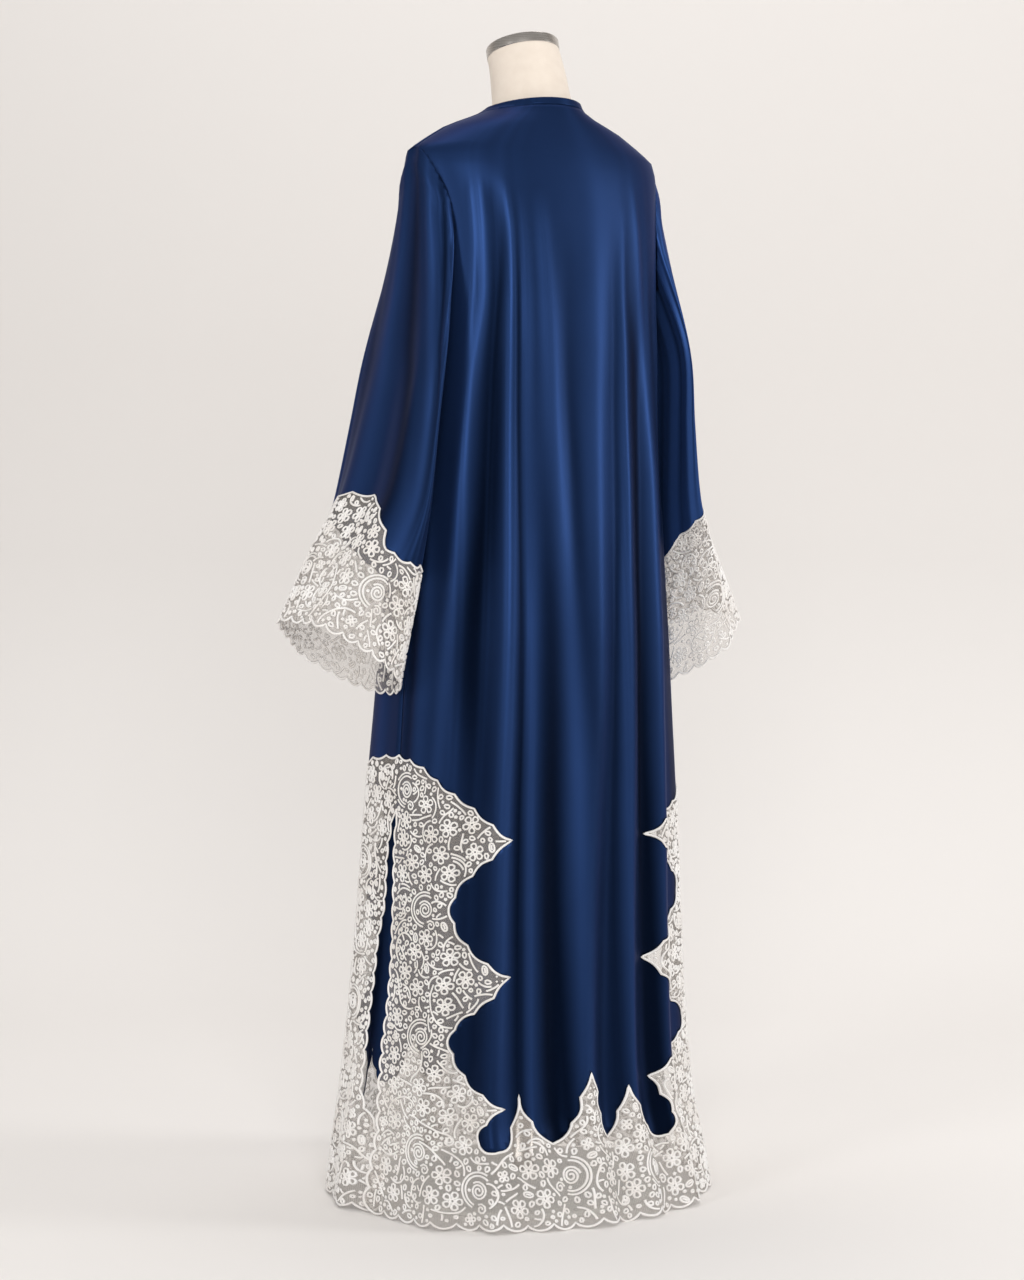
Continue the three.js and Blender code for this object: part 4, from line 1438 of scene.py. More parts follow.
    def trail(self, start: Points, length: float, wide: float) -> Points:
        """A wandering stem that ends in a curl, as far as it stays clear.

        Args:
            start: where it starts.
            length: how long it may get before its curl.
            wide: how much wider the cloth hangs there than it lies flat.

        Returns:
            The stem's points.
        """
        angle = self.random.uniform(0, 2 * math.pi)
        bend = self.random.uniform(-0.16, 0.16)
        steps = int(length / 2.4)
        stem = [start]
        sign = 1 if bend > 0 else -1
        for k in range(steps + 12):
            bend += float(self.random.normal(0, 0.04)) if k < steps else sign * 0.07
            bend = max(-0.2, min(0.2, bend)) if k < steps else bend
            angle += bend
            place = stem[-1] + 2.4 * np.array([math.cos(angle) / wide, math.sin(angle)])
            x, y = self._cells(place)
            if not self.free[x, y] or self.taken[x, y]:
                break
            stem.append(place)
        return np.array(stem)

    def grow(self, per_tile: float, longest: float) -> None:
        """Grows wandering stems with buds and leaves on both sides.

        Args:
            per_tile: tries for each 10 mm square of the lace.
            longest: the longest stem.
        """
        open_cells = np.argwhere(self.free & ~self.taken)
        tries = int(per_tile * len(open_cells) / 100)
        picked = open_cells[self.random.integers(0, len(open_cells), tries)]
        places = self.low + (picked + 0.5) * self.cell
        wide = self.wide_at(places)
        for cell, place, width in zip(picked, places, wide):
            if self.taken[cell[0], cell[1]]:
                continue
            stem = self.trail(place, float(self.random.uniform(0.4, 1)) * longest, float(width))
            if len(stem) < 8:
                continue
            shoots: list[Stroke] = []
            side = 1
            along = np.degrees(np.arctan2(np.gradient(stem[:, 1]), np.gradient(stem[:, 0])))
            for k in range(2, len(stem) - 4, 3):
                side = -side
                kind = bud_shoot if self.random.random() < 0.7 else leaf_shoot
                shoot = turned(kind(), float(along[k]) + side * 62, stem[k], float(width))
                if self.fits(shoot):
                    shoots.extend(shoot)
            self.lay([(stem, False), *shoots])

    def edge_loops(self, edge: Points, parts: int, inwards: float) -> None:
        """Puts a small ring inside each scallop of a free edge.

        Args:
            edge: The scalloped edge.
            parts: How many steps a scallop has.
            inwards: From the scallop's middle to the ring's.
        """
        for first in range(0, len(edge) - parts, parts):
            middle = edge[first + parts // 2]
            chord = (edge[first] + edge[first + parts]) / 2
            away = chord - middle
            away /= max(float(np.linalg.norm(away)), 1e-6)
            self.lay_fitting(turned([ring(2.6)], 0, middle + away * inwards))
            self.lay_fitting(turned([ring(1.6)], 0, edge[first] + away * (inwards + 2)))

    def fill(self) -> None:
        """Fills the lace from the largest motif down to the smallest."""
        self.scatter(lambda: flower(5, 7.5), 0.3)
        self.grow(0.35, 110)
        self.scatter(lambda: flower(5, 6.4), 0.7)
        self.grow(1.2, 60)
        self.scatter(small_flower, 1.2)
        self.grow(2.0, 34)
        self.scatter(lambda: leaf(11, 6), 2)
        self.scatter(lambda: bud(7, 4.6), 5)
        self.scatter(lambda: bud(5, 3.8), 5)
        self.scatter(dot, 4)


@dataclass(frozen=True)
class Cord:
    """A cord's radius, and how high its middle lies over the cloth's face."""

    radius: float
    rise: float


FINE_CORD = Cord(1.28, 0.55)
EDGE_CORD = Cord(1.45, 0.6)


def cord_mesh(name: str, groups: Sequence[tuple[list[Stroke], Cord]], drape: Drape) -> bpy.types.Mesh:
    """Cords laid flat along their strokes and then draped.

    Args:
        name: the mesh's name.
        groups: strokes and the cord that each group of them is laid in.
        drape: how the cloth under them hangs.

    Returns:
        The draped mesh.
    """
    merged = bmesh.new()
    for strokes, cord in groups:
        curve = bpy.data.curves.new(name, "CURVE")
        curve.dimensions = "3D"
        curve.twist_mode = "Z_UP"
        curve.bevel_depth = cord.radius
        curve.bevel_resolution = 0
        curve.use_fill_caps = True
        for points, closed in strokes:
            spline = curve.splines.new("POLY")
            spline.points.add(len(points) - 1)
            spline.points.foreach_set(
                "co", np.column_stack([points, np.full(len(points), cord.rise), np.ones(len(points))]).ravel()
            )
            spline.use_cyclic_u = closed
        holder = bpy.data.objects.new(name, curve)
        flat = bpy.data.meshes.new_from_object(holder)
        merged.from_mesh(flat)
        bpy.data.objects.remove(holder)
        bpy.data.curves.remove(curve)
        bpy.data.meshes.remove(flat)
    mesh = bpy.data.meshes.new(name)
    merged.to_mesh(mesh)
    merged.free()
    put_corners(mesh, drape.place(corners_of(mesh)))
    smooth_shaded(mesh)
    return mesh


# ---- Finishes ----


class Nodes:
    """Short words for building a material's or a group's nodes."""

    def __init__(self, tree: bpy.types.NodeTree) -> None:
        """Keeps the tree."""
        self.tree = tree

    def add(self, kind: str, **values: object) -> bpy.types.Node:
        """Adds a node and sets its properties."""
        node = self.tree.nodes.new(kind)
        for key, value in values.items():
            setattr(node, key, value)
        return node

    def join(self, source: bpy.types.NodeSocket, target: bpy.types.NodeSocket) -> None:
        """Links two sockets."""
        self.tree.links.new(source, target)

    def sums(self, operation: str, first: object, second: object) -> bpy.types.NodeSocket:
        """A Math node of two sockets or numbers.

        Args:
            operation: The node's operation.
            first: A socket or a number.
            second: Another.

        Returns:
            The result.
        """
        node = self.add("ShaderNodeMath", operation=operation)
        for socket, value in zip(node.inputs, (first, second)):
            if isinstance(value, bpy.types.NodeSocket):
                self.join(value, socket)
            else:
                socket.default_value = value
        return node.outputs[0]

    def noise(self, where: bpy.types.NodeSocket, scale: float, detail: float = 2) -> bpy.types.NodeSocket:
        """A noise pattern's value.

        Args:
            where: The place.
            scale: The pattern's scale.
            detail: How fine it gets.

        Returns:
            The pattern's value.
        """
        node = self.add("ShaderNodeTexNoise")
        node.inputs["Scale"].default_value = scale
        node.inputs["Detail"].default_value = detail
        self.join(where, node.inputs["Vector"])
        return node.outputs["Fac"]

    def ramp(
        self, value: bpy.types.NodeSocket, low: Sequence[float], high: Sequence[float], span: Sequence[float] = (0, 1)
    ) -> bpy.types.NodeSocket:
        """A colour between two, by a value.

        Args:
            value: What the colour goes by.
            low: The first colour.
            high: The second colour.
            span: The values of the two colours.

        Returns:
            The colour.
        """
        node = self.add("ShaderNodeValToRGB")
        node.color_ramp.elements[0].position = span[0]
        node.color_ramp.elements[1].position = span[1]
        node.color_ramp.elements[0].color = (*low, 1)
        node.color_ramp.elements[1].color = (*high, 1)
        self.join(value, node.inputs["Fac"])
        return node.outputs["Color"]


def weave_group() -> bpy.types.NodeTree:
    """A shared group: fine woven threads across a UV map, as a height and a slow mottle.

    Returns:
        The group, with the inputs Threads and Slub and the outputs Height and Mottle.
    """
    tree = bpy.data.node_groups.new("weave", "ShaderNodeTree")
    threads = tree.interface.new_socket("Threads", in_out="INPUT", socket_type="NodeSocketFloat")
    threads.default_value = 900
    slub = tree.interface.new_socket("Slub", in_out="INPUT", socket_type="NodeSocketFloat")
    slub.default_value = 30
    tree.interface.new_socket("Height", in_out="OUTPUT", socket_type="NodeSocketFloat")
    tree.interface.new_socket("Mottle", in_out="OUTPUT", socket_type="NodeSocketFloat")
    nodes = Nodes(tree)
    inputs = nodes.add("NodeGroupInput")
    outputs = nodes.add("NodeGroupOutput")
    where = nodes.add("ShaderNodeUVMap")
    parts = nodes.add("ShaderNodeSeparateXYZ")
    nodes.join(where.outputs["UV"], parts.inputs["Vector"])
    waves = []
    for axis in ("X", "Y"):
        scaled = nodes.sums("MULTIPLY", parts.outputs[axis], inputs.outputs["Threads"])
        waves.append(nodes.sums("SINE", nodes.sums("MULTIPLY", scaled, 6.2832), 0))
    height = nodes.sums("MULTIPLY", nodes.sums("ADD", waves[0], waves[1]), 0.5)
    mottle = nodes.add("ShaderNodeTexNoise")
    mottle.inputs["Detail"].default_value = 3
    nodes.join(where.outputs["UV"], mottle.inputs["Vector"])
    nodes.join(inputs.outputs["Slub"], mottle.inputs["Scale"])
    nodes.join(height, outputs.inputs["Height"])
    nodes.join(mottle.outputs["Fac"], outputs.inputs["Mottle"])
    return tree


def new_material(name: str) -> tuple[bpy.types.Material, Nodes, bpy.types.Node]:
    """An empty material with its shader.

    Args:
        name: the material's name.

    Returns:
        The material, its nodes and its Principled BSDF.
    """
    material = bpy.data.materials.new(name)
    material.use_nodes = True
    nodes = Nodes(material.node_tree)
    return material, nodes, material.node_tree.nodes["Principled BSDF"]


def bump(nodes: Nodes, shader: bpy.types.Node, height: bpy.types.NodeSocket, strength: float, distance: float) -> None:
    """Gives a shader a bump from a height.

    Args:
        nodes: The material's nodes.
        shader: Its shader.
        height: The pattern.
        strength: From 0 to 1.
        distance: Metres between low and high.
    """
    node = nodes.add("ShaderNodeBump")
    node.inputs["Strength"].default_value = strength
    node.inputs["Distance"].default_value = distance
    nodes.join(height, node.inputs["Height"])
    nodes.join(node.outputs["Normal"], shader.inputs["Normal"])


@dataclass(frozen=True)
class Satin:
    """A smooth navy satin with a blue sheen."""

    # The colour in the deepest painted shade and the colour on a ridge in painted light; contrast bends the painted
    # shade between them.
    low: tuple[float, float, float] = (0.0018, 0.0046, 0.0145)
    high: tuple[float, float, float] = (0.0235, 0.058, 0.182)
    roughness: float = 0.41
    metallic: float = 0.5
    contrast: float = 1.5

    def make(self, weave: bpy.types.NodeTree) -> bpy.types.Material:
        """The satin's material, with its threads, a slow mottle in roughness and colour, and painted shade and
        highlight from the shade attribute.

        Args:
            weave: The group that all cloth shares.

        Returns:
            The material.
        """
        material, nodes, shader = new_material("navy_satin")
        group = nodes.add("ShaderNodeGroup", node_tree=weave)
        group.inputs["Threads"].default_value = 1400
        group.inputs["Slub"].default_value = 14
        mottle = group.outputs["Mottle"]
        # Painted shade and highlight: the shade attribute, with a little mottle, sets the colour between low and high.
        shade = nodes.add("ShaderNodeAttribute", attribute_name="shade").outputs["Fac"]
        painted_shade_and_mottle = nodes.sums("ADD", shade, nodes.sums("MULTIPLY", nodes.sums("SUBTRACT", mottle, 0.5), 0.05))
        deep = nodes.sums("POWER", nodes.sums("MAXIMUM", painted_shade_and_mottle, 0.0), self.contrast)
        nodes.join(nodes.ramp(deep, self.low, self.high), shader.inputs["Base Color"])
        rough = nodes.sums("ADD", nodes.sums("MULTIPLY", mottle, 0.06), self.roughness - 0.03)
        nodes.join(rough, shader.inputs["Roughness"])
        shader.inputs["Metallic"].default_value = self.metallic
        shader.inputs["Specular IOR Level"].default_value = 0.1
        shader.inputs["Specular Tint"].default_value = (0.12, 0.22, 0.55, 1)
        shader.inputs["Sheen Weight"].default_value = 0.02
        shader.inputs["Sheen Roughness"].default_value = 0.5
        shader.inputs["Sheen Tint"].default_value = (0.3, 0.45, 0.9, 1)
        bump(nodes, shader, group.outputs["Height"], 0.06, 0.00008)
        return material


@dataclass(frozen=True)
class Net:
    """The lace's fine see-through ground."""

    colour: tuple[float, float, float] = (0.62, 0.575, 0.535)
    cover: float = 0.21
    mesh_size: float = 650

    def make(self) -> bpy.types.Material:
        """The net's material: threads round small cells, more or less see-through."""
        material, nodes, shader = new_material("lace_net")
        where = nodes.add("ShaderNodeUVMap")
        cells = nodes.add("ShaderNodeTexVoronoi", feature="DISTANCE_TO_EDGE")
        cells.inputs["Scale"].default_value = self.mesh_size
        cells.inputs["Randomness"].default_value = 0.25
        nodes.join(where.outputs["UV"], cells.inputs["Vector"])
        threads = nodes.sums("LESS_THAN", cells.outputs["Distance"], 0.12)
        cover = nodes.sums("ADD", nodes.sums("MULTIPLY", threads, self.cover * 0.7), self.cover * 0.65)
        nodes.join(cover, shader.inputs["Alpha"])
        mottle = nodes.noise(where.outputs["UV"], 40, 2)
        low = tuple(part * 0.92 for part in self.colour)
        nodes.join(nodes.ramp(mottle, low, self.colour, (0.3, 0.7)), shader.inputs["Base Color"])
        shader.inputs["Roughness"].default_value = 0.9
        shader.inputs["Specular IOR Level"].default_value = 0.2
        return material


@dataclass(frozen=True)
class Thread:
    """The raised cord's soft ivory thread."""

    low: tuple[float, float, float] = (0.86, 0.82, 0.785)
    high: tuple[float, float, float] = (0.96, 0.94, 0.92)

    def make(self) -> bpy.types.Material:
        """The thread's material, with a fine twist and a slow change of colour."""
        material, nodes, shader = new_material("ivory_cord")
        where = nodes.add("ShaderNodeTexCoord").outputs["Object"]
        slow = nodes.noise(where, 26, 2)
        nodes.join(nodes.ramp(slow, self.low, self.high, (0.3, 0.66)), shader.inputs["Base Color"])
        shader.inputs["Roughness"].default_value = 0.78
        shader.inputs["Specular IOR Level"].default_value = 0.25
        shader.inputs["Sheen Weight"].default_value = 0.25
        bump(nodes, shader, nodes.noise(where, 1900, 3), 0.35, 0.0003)
        return material


@dataclass(frozen=True)
class Linen:
    """The dress form's plain cream cover."""

    low: tuple[float, float, float] = (0.80, 0.70, 0.60)
    high: tuple[float, float, float] = (0.84, 0.745, 0.645)

    def make(self) -> bpy.types.Material:
        """The cover's material, finely woven."""
        material, nodes, shader = new_material("cream_cover")
        where = nodes.add("ShaderNodeTexCoord").outputs["Object"]
        parts = nodes.add("ShaderNodeSeparateXYZ")
        nodes.join(where, parts.inputs["Vector"])
        waves = [
            nodes.sums("SINE", nodes.sums("MULTIPLY", parts.outputs[axis], 5200), 0) for axis in ("X", "Y", "Z")
        ]
        height = nodes.sums("ADD", nodes.sums("ADD", waves[0], waves[1]), waves[2])
        slow = nodes.noise(where, 60, 3)
        nodes.join(nodes.ramp(slow, self.low, self.high, (0.3, 0.7)), shader.inputs["Base Color"])
        shader.inputs["Roughness"].default_value = 0.82
        shader.inputs["Specular IOR Level"].default_value = 0.25
        shader.inputs["Sheen Weight"].default_value = 0.15
        bump(nodes, shader, height, 0.12, 0.0001)
        return material


@dataclass(frozen=True)
class Metal:
    """A metal or enamel of the stand."""

    name: str
    low: tuple[float, float, float]
    high: tuple[float, float, float]
    roughness: float
    metallic: float
    brushed: float = 0.0

    def make(self) -> bpy.types.Material:
        """The metal's material, with level brush marks where it has any."""
        material, nodes, shader = new_material(self.name)
        where = nodes.add("ShaderNodeTexCoord").outputs["Object"]
        mapping = nodes.add("ShaderNodeMapping")
        mapping.inputs["Scale"].default_value = (12, 12, 2200) if self.brushed else (90, 90, 90)
        nodes.join(where, mapping.inputs["Vector"])
        marks = nodes.noise(mapping.outputs["Vector"], 1, 3)
        nodes.join(nodes.ramp(marks, self.low, self.high, (0.3, 0.7)), shader.inputs["Base Color"])
        rough = nodes.sums("ADD", nodes.sums("MULTIPLY", marks, 0.12), self.roughness - 0.06)
        nodes.join(rough, shader.inputs["Roughness"])
        shader.inputs["Metallic"].default_value = self.metallic
        bump(nodes, shader, marks, 0.05 + self.brushed, 0.00005)
        return material


@dataclass
class Finishes:
    """Every material of the part."""

    satin: bpy.types.Material
    net: bpy.types.Material
    thread: bpy.types.Material
    linen: bpy.types.Material
    steel: bpy.types.Material
    enamel: bpy.types.Material

    @classmethod
    def make(cls) -> "Finishes":
        """Builds the materials."""
        weave = weave_group()
        steel = Metal("brushed_steel", (0.44, 0.41, 0.38), (0.60, 0.56, 0.52), 0.27, 1.0, 0.1)
        enamel = Metal("pale_enamel", (0.74, 0.73, 0.70), (0.80, 0.79, 0.76), 0.42, 0.0)
        return cls(Satin().make(weave), Net().make(), Thread().make(), Linen().make(), steel.make(), enamel.make())


# ---- Sub-assemblies ----


def dress(piece: bpy.types.Object, finish: bpy.types.Material, slot: str, *nodes: str) -> bpy.types.Object:
    """Gives a piece its finish and its place on the model.

    Args:
        piece: the finished piece.
        finish: its material.
        slot: not used.
        nodes: the solids that it stands for.

    Returns:
        The piece.
    """
    piece.data.materials.clear()
    piece.data.materials.append(finish)
    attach(piece, "root")
    if nodes:
        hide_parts(*nodes)
    log.info("%s: %d faces, %.4f m2", piece.name, len(piece.data.polygons), sum(f.area for f in piece.data.polygons))
    return piece


@dataclass
class SatinBody:
    """The back and the two fronts in satin, and the neck's binding."""

    finishes: Finishes
    back_cut: Cut = Cut(0.57, 1.29, 0.543)
    front_cut: Cut = Cut(0.33, 1.29, 0.294)
    binding_cut: Cut = Cut(0.44, 0.0143, 0.0063)

    def back_outline(self) -> Points:
        """The back's outline: armhole, neckline, armhole and the seam with the lace."""
        left = np.vstack([armhole_edge(Panel.BACK), neck_edge(Panel.BACK)])
        return np.vstack([left, mirrored(left)[1:], lace_seam(Panel.BACK)[::-1]])

    def front_outline(self, side: Side) -> Points:
        """A front's outline, past the centre by its lap."""
        line = np.vstack([lace_seam(Panel.FRONT)[::-1], armhole_edge(Panel.FRONT), neck_edge(Panel.FRONT, LAP_PAST)])
        return line if side is Side.LEFT else mirrored(line)

    def binding_outline(self) -> Points:
        """The neck binding's outline, all round the neckline."""
        turn = np.linspace(-179.4, 179.4, 120)
        across = turn * BodyDrape.per_degree
        low = np.stack([across, neck_height(turn) - 2.5], -1)
        high = np.stack([across, neck_height(turn) + BINDING], -1)
        return np.vstack([low, high[::-1]])

    def build(self) -> list[bpy.types.Object]:
        """Makes and dresses the satin pieces."""
        back = ClothPiece("back_satin", self.back_outline(), BodyDrape(), self.back_cut)
        made = [dress(back.build(), self.finishes.satin, "satin", "back_panel")]
        for side in Side:
            drape = FrontDrape(laps=side is Side.RIGHT)
            piece = ClothPiece(f"front_satin_{side.word}", self.front_outline(side), drape, self.front_cut)
            shown = dress(piece.build(), self.finishes.satin, "satin", f"front_panel_{side.word}")
            made.append(shown)
        binding = ClothPiece(
            "neck_band", self.binding_outline(), BodyDrape(), self.binding_cut, row=2.2, thickness=1.0, sunk=0.1,
            edge_roll=0,
        )
        band = dress(binding.build(), self.finishes.satin, "satin", "neck_binding")
        return [*made, band]


@dataclass
class LaceBorder:
    """One lace piece of the body: its net and its cord."""

    name: str
    node: str
    net_outline: Points
    seam: Points
    free: list[Points]
    drape: Drape
    cut: Cut
    seed: int
    tips: list[tuple[float, float, float]]
    scrolls: list[tuple[float, float, float, bool]]
    finishes: Finishes
    parts: int = 8

    def build(self) -> list[bpy.types.Object]:
        """Makes and dresses the net and the cord."""
        net = ClothPiece(
            f"{self.name}_net", self.net_outline, self.drape, self.cut, column=6.4, row=9, thickness=0.3, edge_roll=0
        )
        shown = dress(net.build(), self.finishes.net, "lace", self.node)
        drawing = LaceDrawing(self.net_outline, self.drape, self.seed)
        drawing.lay([(self.seam, False)], heavy=True)
        for edge in self.free:
            drawing.lay([(edge, False)], heavy=True)
        for x, y, angle in self.tips:
            turn = math.radians(angle)
            step = np.array([math.cos(turn), math.sin(turn)])
            at = np.array([x, y])
            drawing.put(ribbed_leaf(17, 9), at + step * 15, angle)
            drawing.put(flower(5, 8), at + step * 36, angle)
        for x, y, angle, flip in self.scrolls:
            drawing.put(scroll(), (x, y), angle, flip)
        for edge in self.free:
            drawing.edge_loops(edge, self.parts, 5.5)
        drawing.fill()
        groups = [(drawing.heavy, EDGE_CORD), (drawing.strokes, FINE_CORD)]
        mesh = cord_mesh(f"{self.name}_cord", groups, self.drape)
        cord = dress(link(f"{self.name}_cord", mesh), self.finishes.thread, "lace")
        log.info("%s: %d strokes", self.name, len(drawing.strokes))
        return [shown, cord]


def body_lace(finishes: Finishes) -> list[LaceBorder]:
    """The body's three lace pieces.

    Args:
        finishes: The materials.

    Returns:
        The back's frame and both fronts' borders.
    """
    per = BodyDrape.per_degree
    back_seam = lace_seam(Panel.BACK)
    left_slit = slit_edge(Panel.BACK)
    right_slit = mirrored(left_slit)
    end = float(left_slit[-1, 0])
    hem = hem_edge(-end, end)
    outline = np.vstack([back_seam, right_slit[::-1], hem[1:-1], left_slit[::-1]])
    tips = [(31.5, 472, 0), (31.5, 303, 0), (33.5, 142, 0), (28, 158, -90), (3.5, 178, -90), (-12, 155, -90)]
    tips += [(-25, 161, 180), (-25, 311, 180), (-28, 467, 180)]
    scrolls = [(67, 385, 0, True), (67, 228, 0, True), (66, 88, 0, True), (-68, 385, 0, False), (-68, 228, 0, False)]
    scrolls += [(-66, 88, 0, False), (82, 530, 0, True), (45, 48, 20, True), (14, 62, 30, False), (-18, 55, -20, True)]
    pieces = [
        LaceBorder(
            "back_lace", "back_lace", outline, back_seam, [left_slit, right_slit, hem], BodyDrape(),
            Cut(0.68, 0.57, 0.206), 11,
            [(t * per, z, a) for t, z, a in tips], [(t * per, z, a, f) for t, z, a, f in scrolls], finishes,
        )
    ]  # fmt: skip
    for side in Side:
        seam, slit = lace_seam(Panel.FRONT), slit_edge(Panel.FRONT)
        hem = hem_edge(float(seam[-1, 0]), float(slit[-1, 0]))
        outline = np.vstack([seam, hem[:-1], slit[::-1]])
        tips = [(147, 471, 180), (147.5, 304, 180), (146, 144, 180), (152, 156, -90), (171, 172, -90)]
        scrolls = [(112, 430, 0, False), (112, 250, 0, False), (112, 90, 0, False), (150, 50, 0, True)]
        sign = side.value
        if side is Side.RIGHT:
            outline, seam, slit, hem = (mirrored(line) for line in (outline, seam, slit, hem))
        pieces.append(
            LaceBorder(
                f"front_lace_{side.word}", f"front_lace_{side.word}", outline, seam, [slit, hem],
                FrontDrape(laps=side is Side.RIGHT), Cut(0.36, 0.57, 0.121), 23 + sign,
                [(t * per * sign, z, a if sign > 0 or a == -90 else 0) for t, z, a in tips],
                [(t * per * sign, z, a, f == (sign > 0)) for t, z, a, f in scrolls], finishes,
            )
        )  # fmt: skip
    return pieces


@dataclass
class Sleeve:
    """A satin sleeve and its wide lace cuff."""

    side: Side
    twist: float
    finishes: Finishes
    sleeve_cut: Cut = Cut(0.46, 0.5, 0.163)
    cuff_cut: Cut = Cut(0.56, 0.19, 0.088)

    def seam(self, drape: SleeveDrape) -> Points:
        """The seam between the sleeve and the cuff's lace, all round.

        Args:
            drape: How the sleeve hangs.

        Returns:
            The seam's flat points.
        """
        turn = np.linspace(-179.9, 179.9, 49)
        untwisted = (turn - self.twist + 180) % 360 - 180
        run = np.stack([turn * drape.per_degree, CUFF_EDGE.at("length", untwisted)], -1)
        return scalloped([run], EDGING.bump_pitch, EDGING.bump_depth, 9, 1)

    def build(self) -> list[bpy.types.Object]:
        """Makes and dresses the sleeve and its cuff."""
        drape = SleeveDrape(self.side)
        word = self.side.word
        seam = self.seam(drape)
        turn = np.linspace(179.9, -179.9, 97)
        head = np.stack([turn * drape.per_degree, drape.top(turn)], -1)
        satin = ClothPiece(
            f"sleeve_satin_{word}", np.vstack([seam, head]), drape, self.sleeve_cut, column=3.6, row=7, edge_roll=0.1
        )
        sleeve = dress(satin.build(), self.finishes.satin, "satin", f"sleeve_{word}")
        end = 179.9 * drape.per_degree
        rim = scalloped([np.array([[end, 0], [-end, 0]])], EDGING.pitch * 0.8, EDGING.depth, parts=8)
        lace = LaceBorder(
            f"cuff_{word}", f"cuff_lace_{word}", np.vstack([seam, rim]), seam, [rim], drape, self.cuff_cut,
            41 + self.side.value, [], self._scrolls(drape), self.finishes,
        )  # fmt: skip
        return [sleeve, *lace.build()]

    def _scrolls(self, drape: SleeveDrape) -> list[tuple[float, float, float, bool]]:
        """Flat places of the cuff's scrolls.

        Args:
            drape: How the sleeve hangs.

        Returns:
            Across, along, angle and whether it is flipped.
        """
        turns = ((62, 62), (-20, 70), (-105, 70), (150, 66))
        made = []
        for turn, length in turns:
            wrapped = (turn + self.twist + 180) % 360 - 180
            made.append((wrapped * drape.per_degree, float(length), 0.0, False))
        return made


def ringed(rings: Sequence[Points]) -> bmesh.types.BMesh:
    """A closed skin through rings: one circle extruded up from ring to ring.

    Args:
        rings: rings of the same number of points, from the bottom up, in metres.

    Returns:
        The mesh, with both ends filled.
    """
    bm = bmesh.new()
    count = len(rings[0])
    bmesh.ops.create_circle(bm, cap_ends=True, radius=1, segments=count)
    bm.verts.ensure_lookup_table()
    around = sorted(bm.verts, key=lambda corner: math.atan2(corner.co.y, corner.co.x) % (2 * math.pi - 1e-4))
    rim = {corner: i for i, corner in enumerate(around)}
    edges = list(bm.edges)
    for level, places in enumerate(rings):
        if level:
            before = {tuple(round(part, 7) for part in corner.co): i for corner, i in rim.items()}
            made = bmesh.ops.extrude_edge_only(bm, edges=edges)["geom"]
            rim = {
                item: before[tuple(round(part, 7) for part in item.co)]
                for item in made
                if isinstance(item, bmesh.types.BMVert)
            }
            edges = [
                item
                for item in made
                if isinstance(item, bmesh.types.BMEdge) and item.verts[0] in rim and item.verts[1] in rim
            ]
        for corner, i in rim.items():
            corner.co = Vector(places[i])
    bmesh.ops.holes_fill(bm, edges=edges, sides=0)
    bmesh.ops.recalc_face_normals(bm, faces=bm.faces)
    return bm


def spun(profile: Sequence[tuple[float, float]], steps: int = 64) -> bmesh.types.BMesh:
    """A solid of revolution about +Z.

    Args:
        profile: radius and height of each place, in millimetres, from the axis to the axis.
        steps: faces round it.

    Returns:
        The mesh, closed at its poles.
    """
    bm = bmesh.new()
    corners = [bm.verts.new((radius * MM, 0, height * MM)) for radius, height in profile]
    edges = [bm.edges.new(pair) for pair in zip(corners[:-1], corners[1:])]
    bmesh.ops.spin(
        bm, geom=[*corners, *edges], axis=(0, 0, 1), cent=(0, 0, 0), angle=2 * math.pi, steps=steps, use_merge=True
    )
    bmesh.ops.remove_doubles(bm, verts=bm.verts, dist=1e-6)
    bmesh.ops.recalc_face_normals(bm, faces=bm.faces)
    return bm


def piece_of(name: str, bm: bmesh.types.BMesh, auto: float = 40) -> bpy.types.Object:
    """An object of a mesh, smooth but for edges sharper than some degrees.

    Args:
        name: The object's name.
        bm: Its mesh, which is freed.
        auto: The angle, in degrees.

    Returns:
        The object.
    """
    for edge in bm.edges:
        edge.smooth = len(edge.link_faces) < 2 or edge.calc_face_angle(0) < math.radians(auto)
    mesh = bpy.data.meshes.new(name)
    bm.to_mesh(mesh)
    bm.free()
    smooth_shaded(mesh)
    return link(name, mesh)


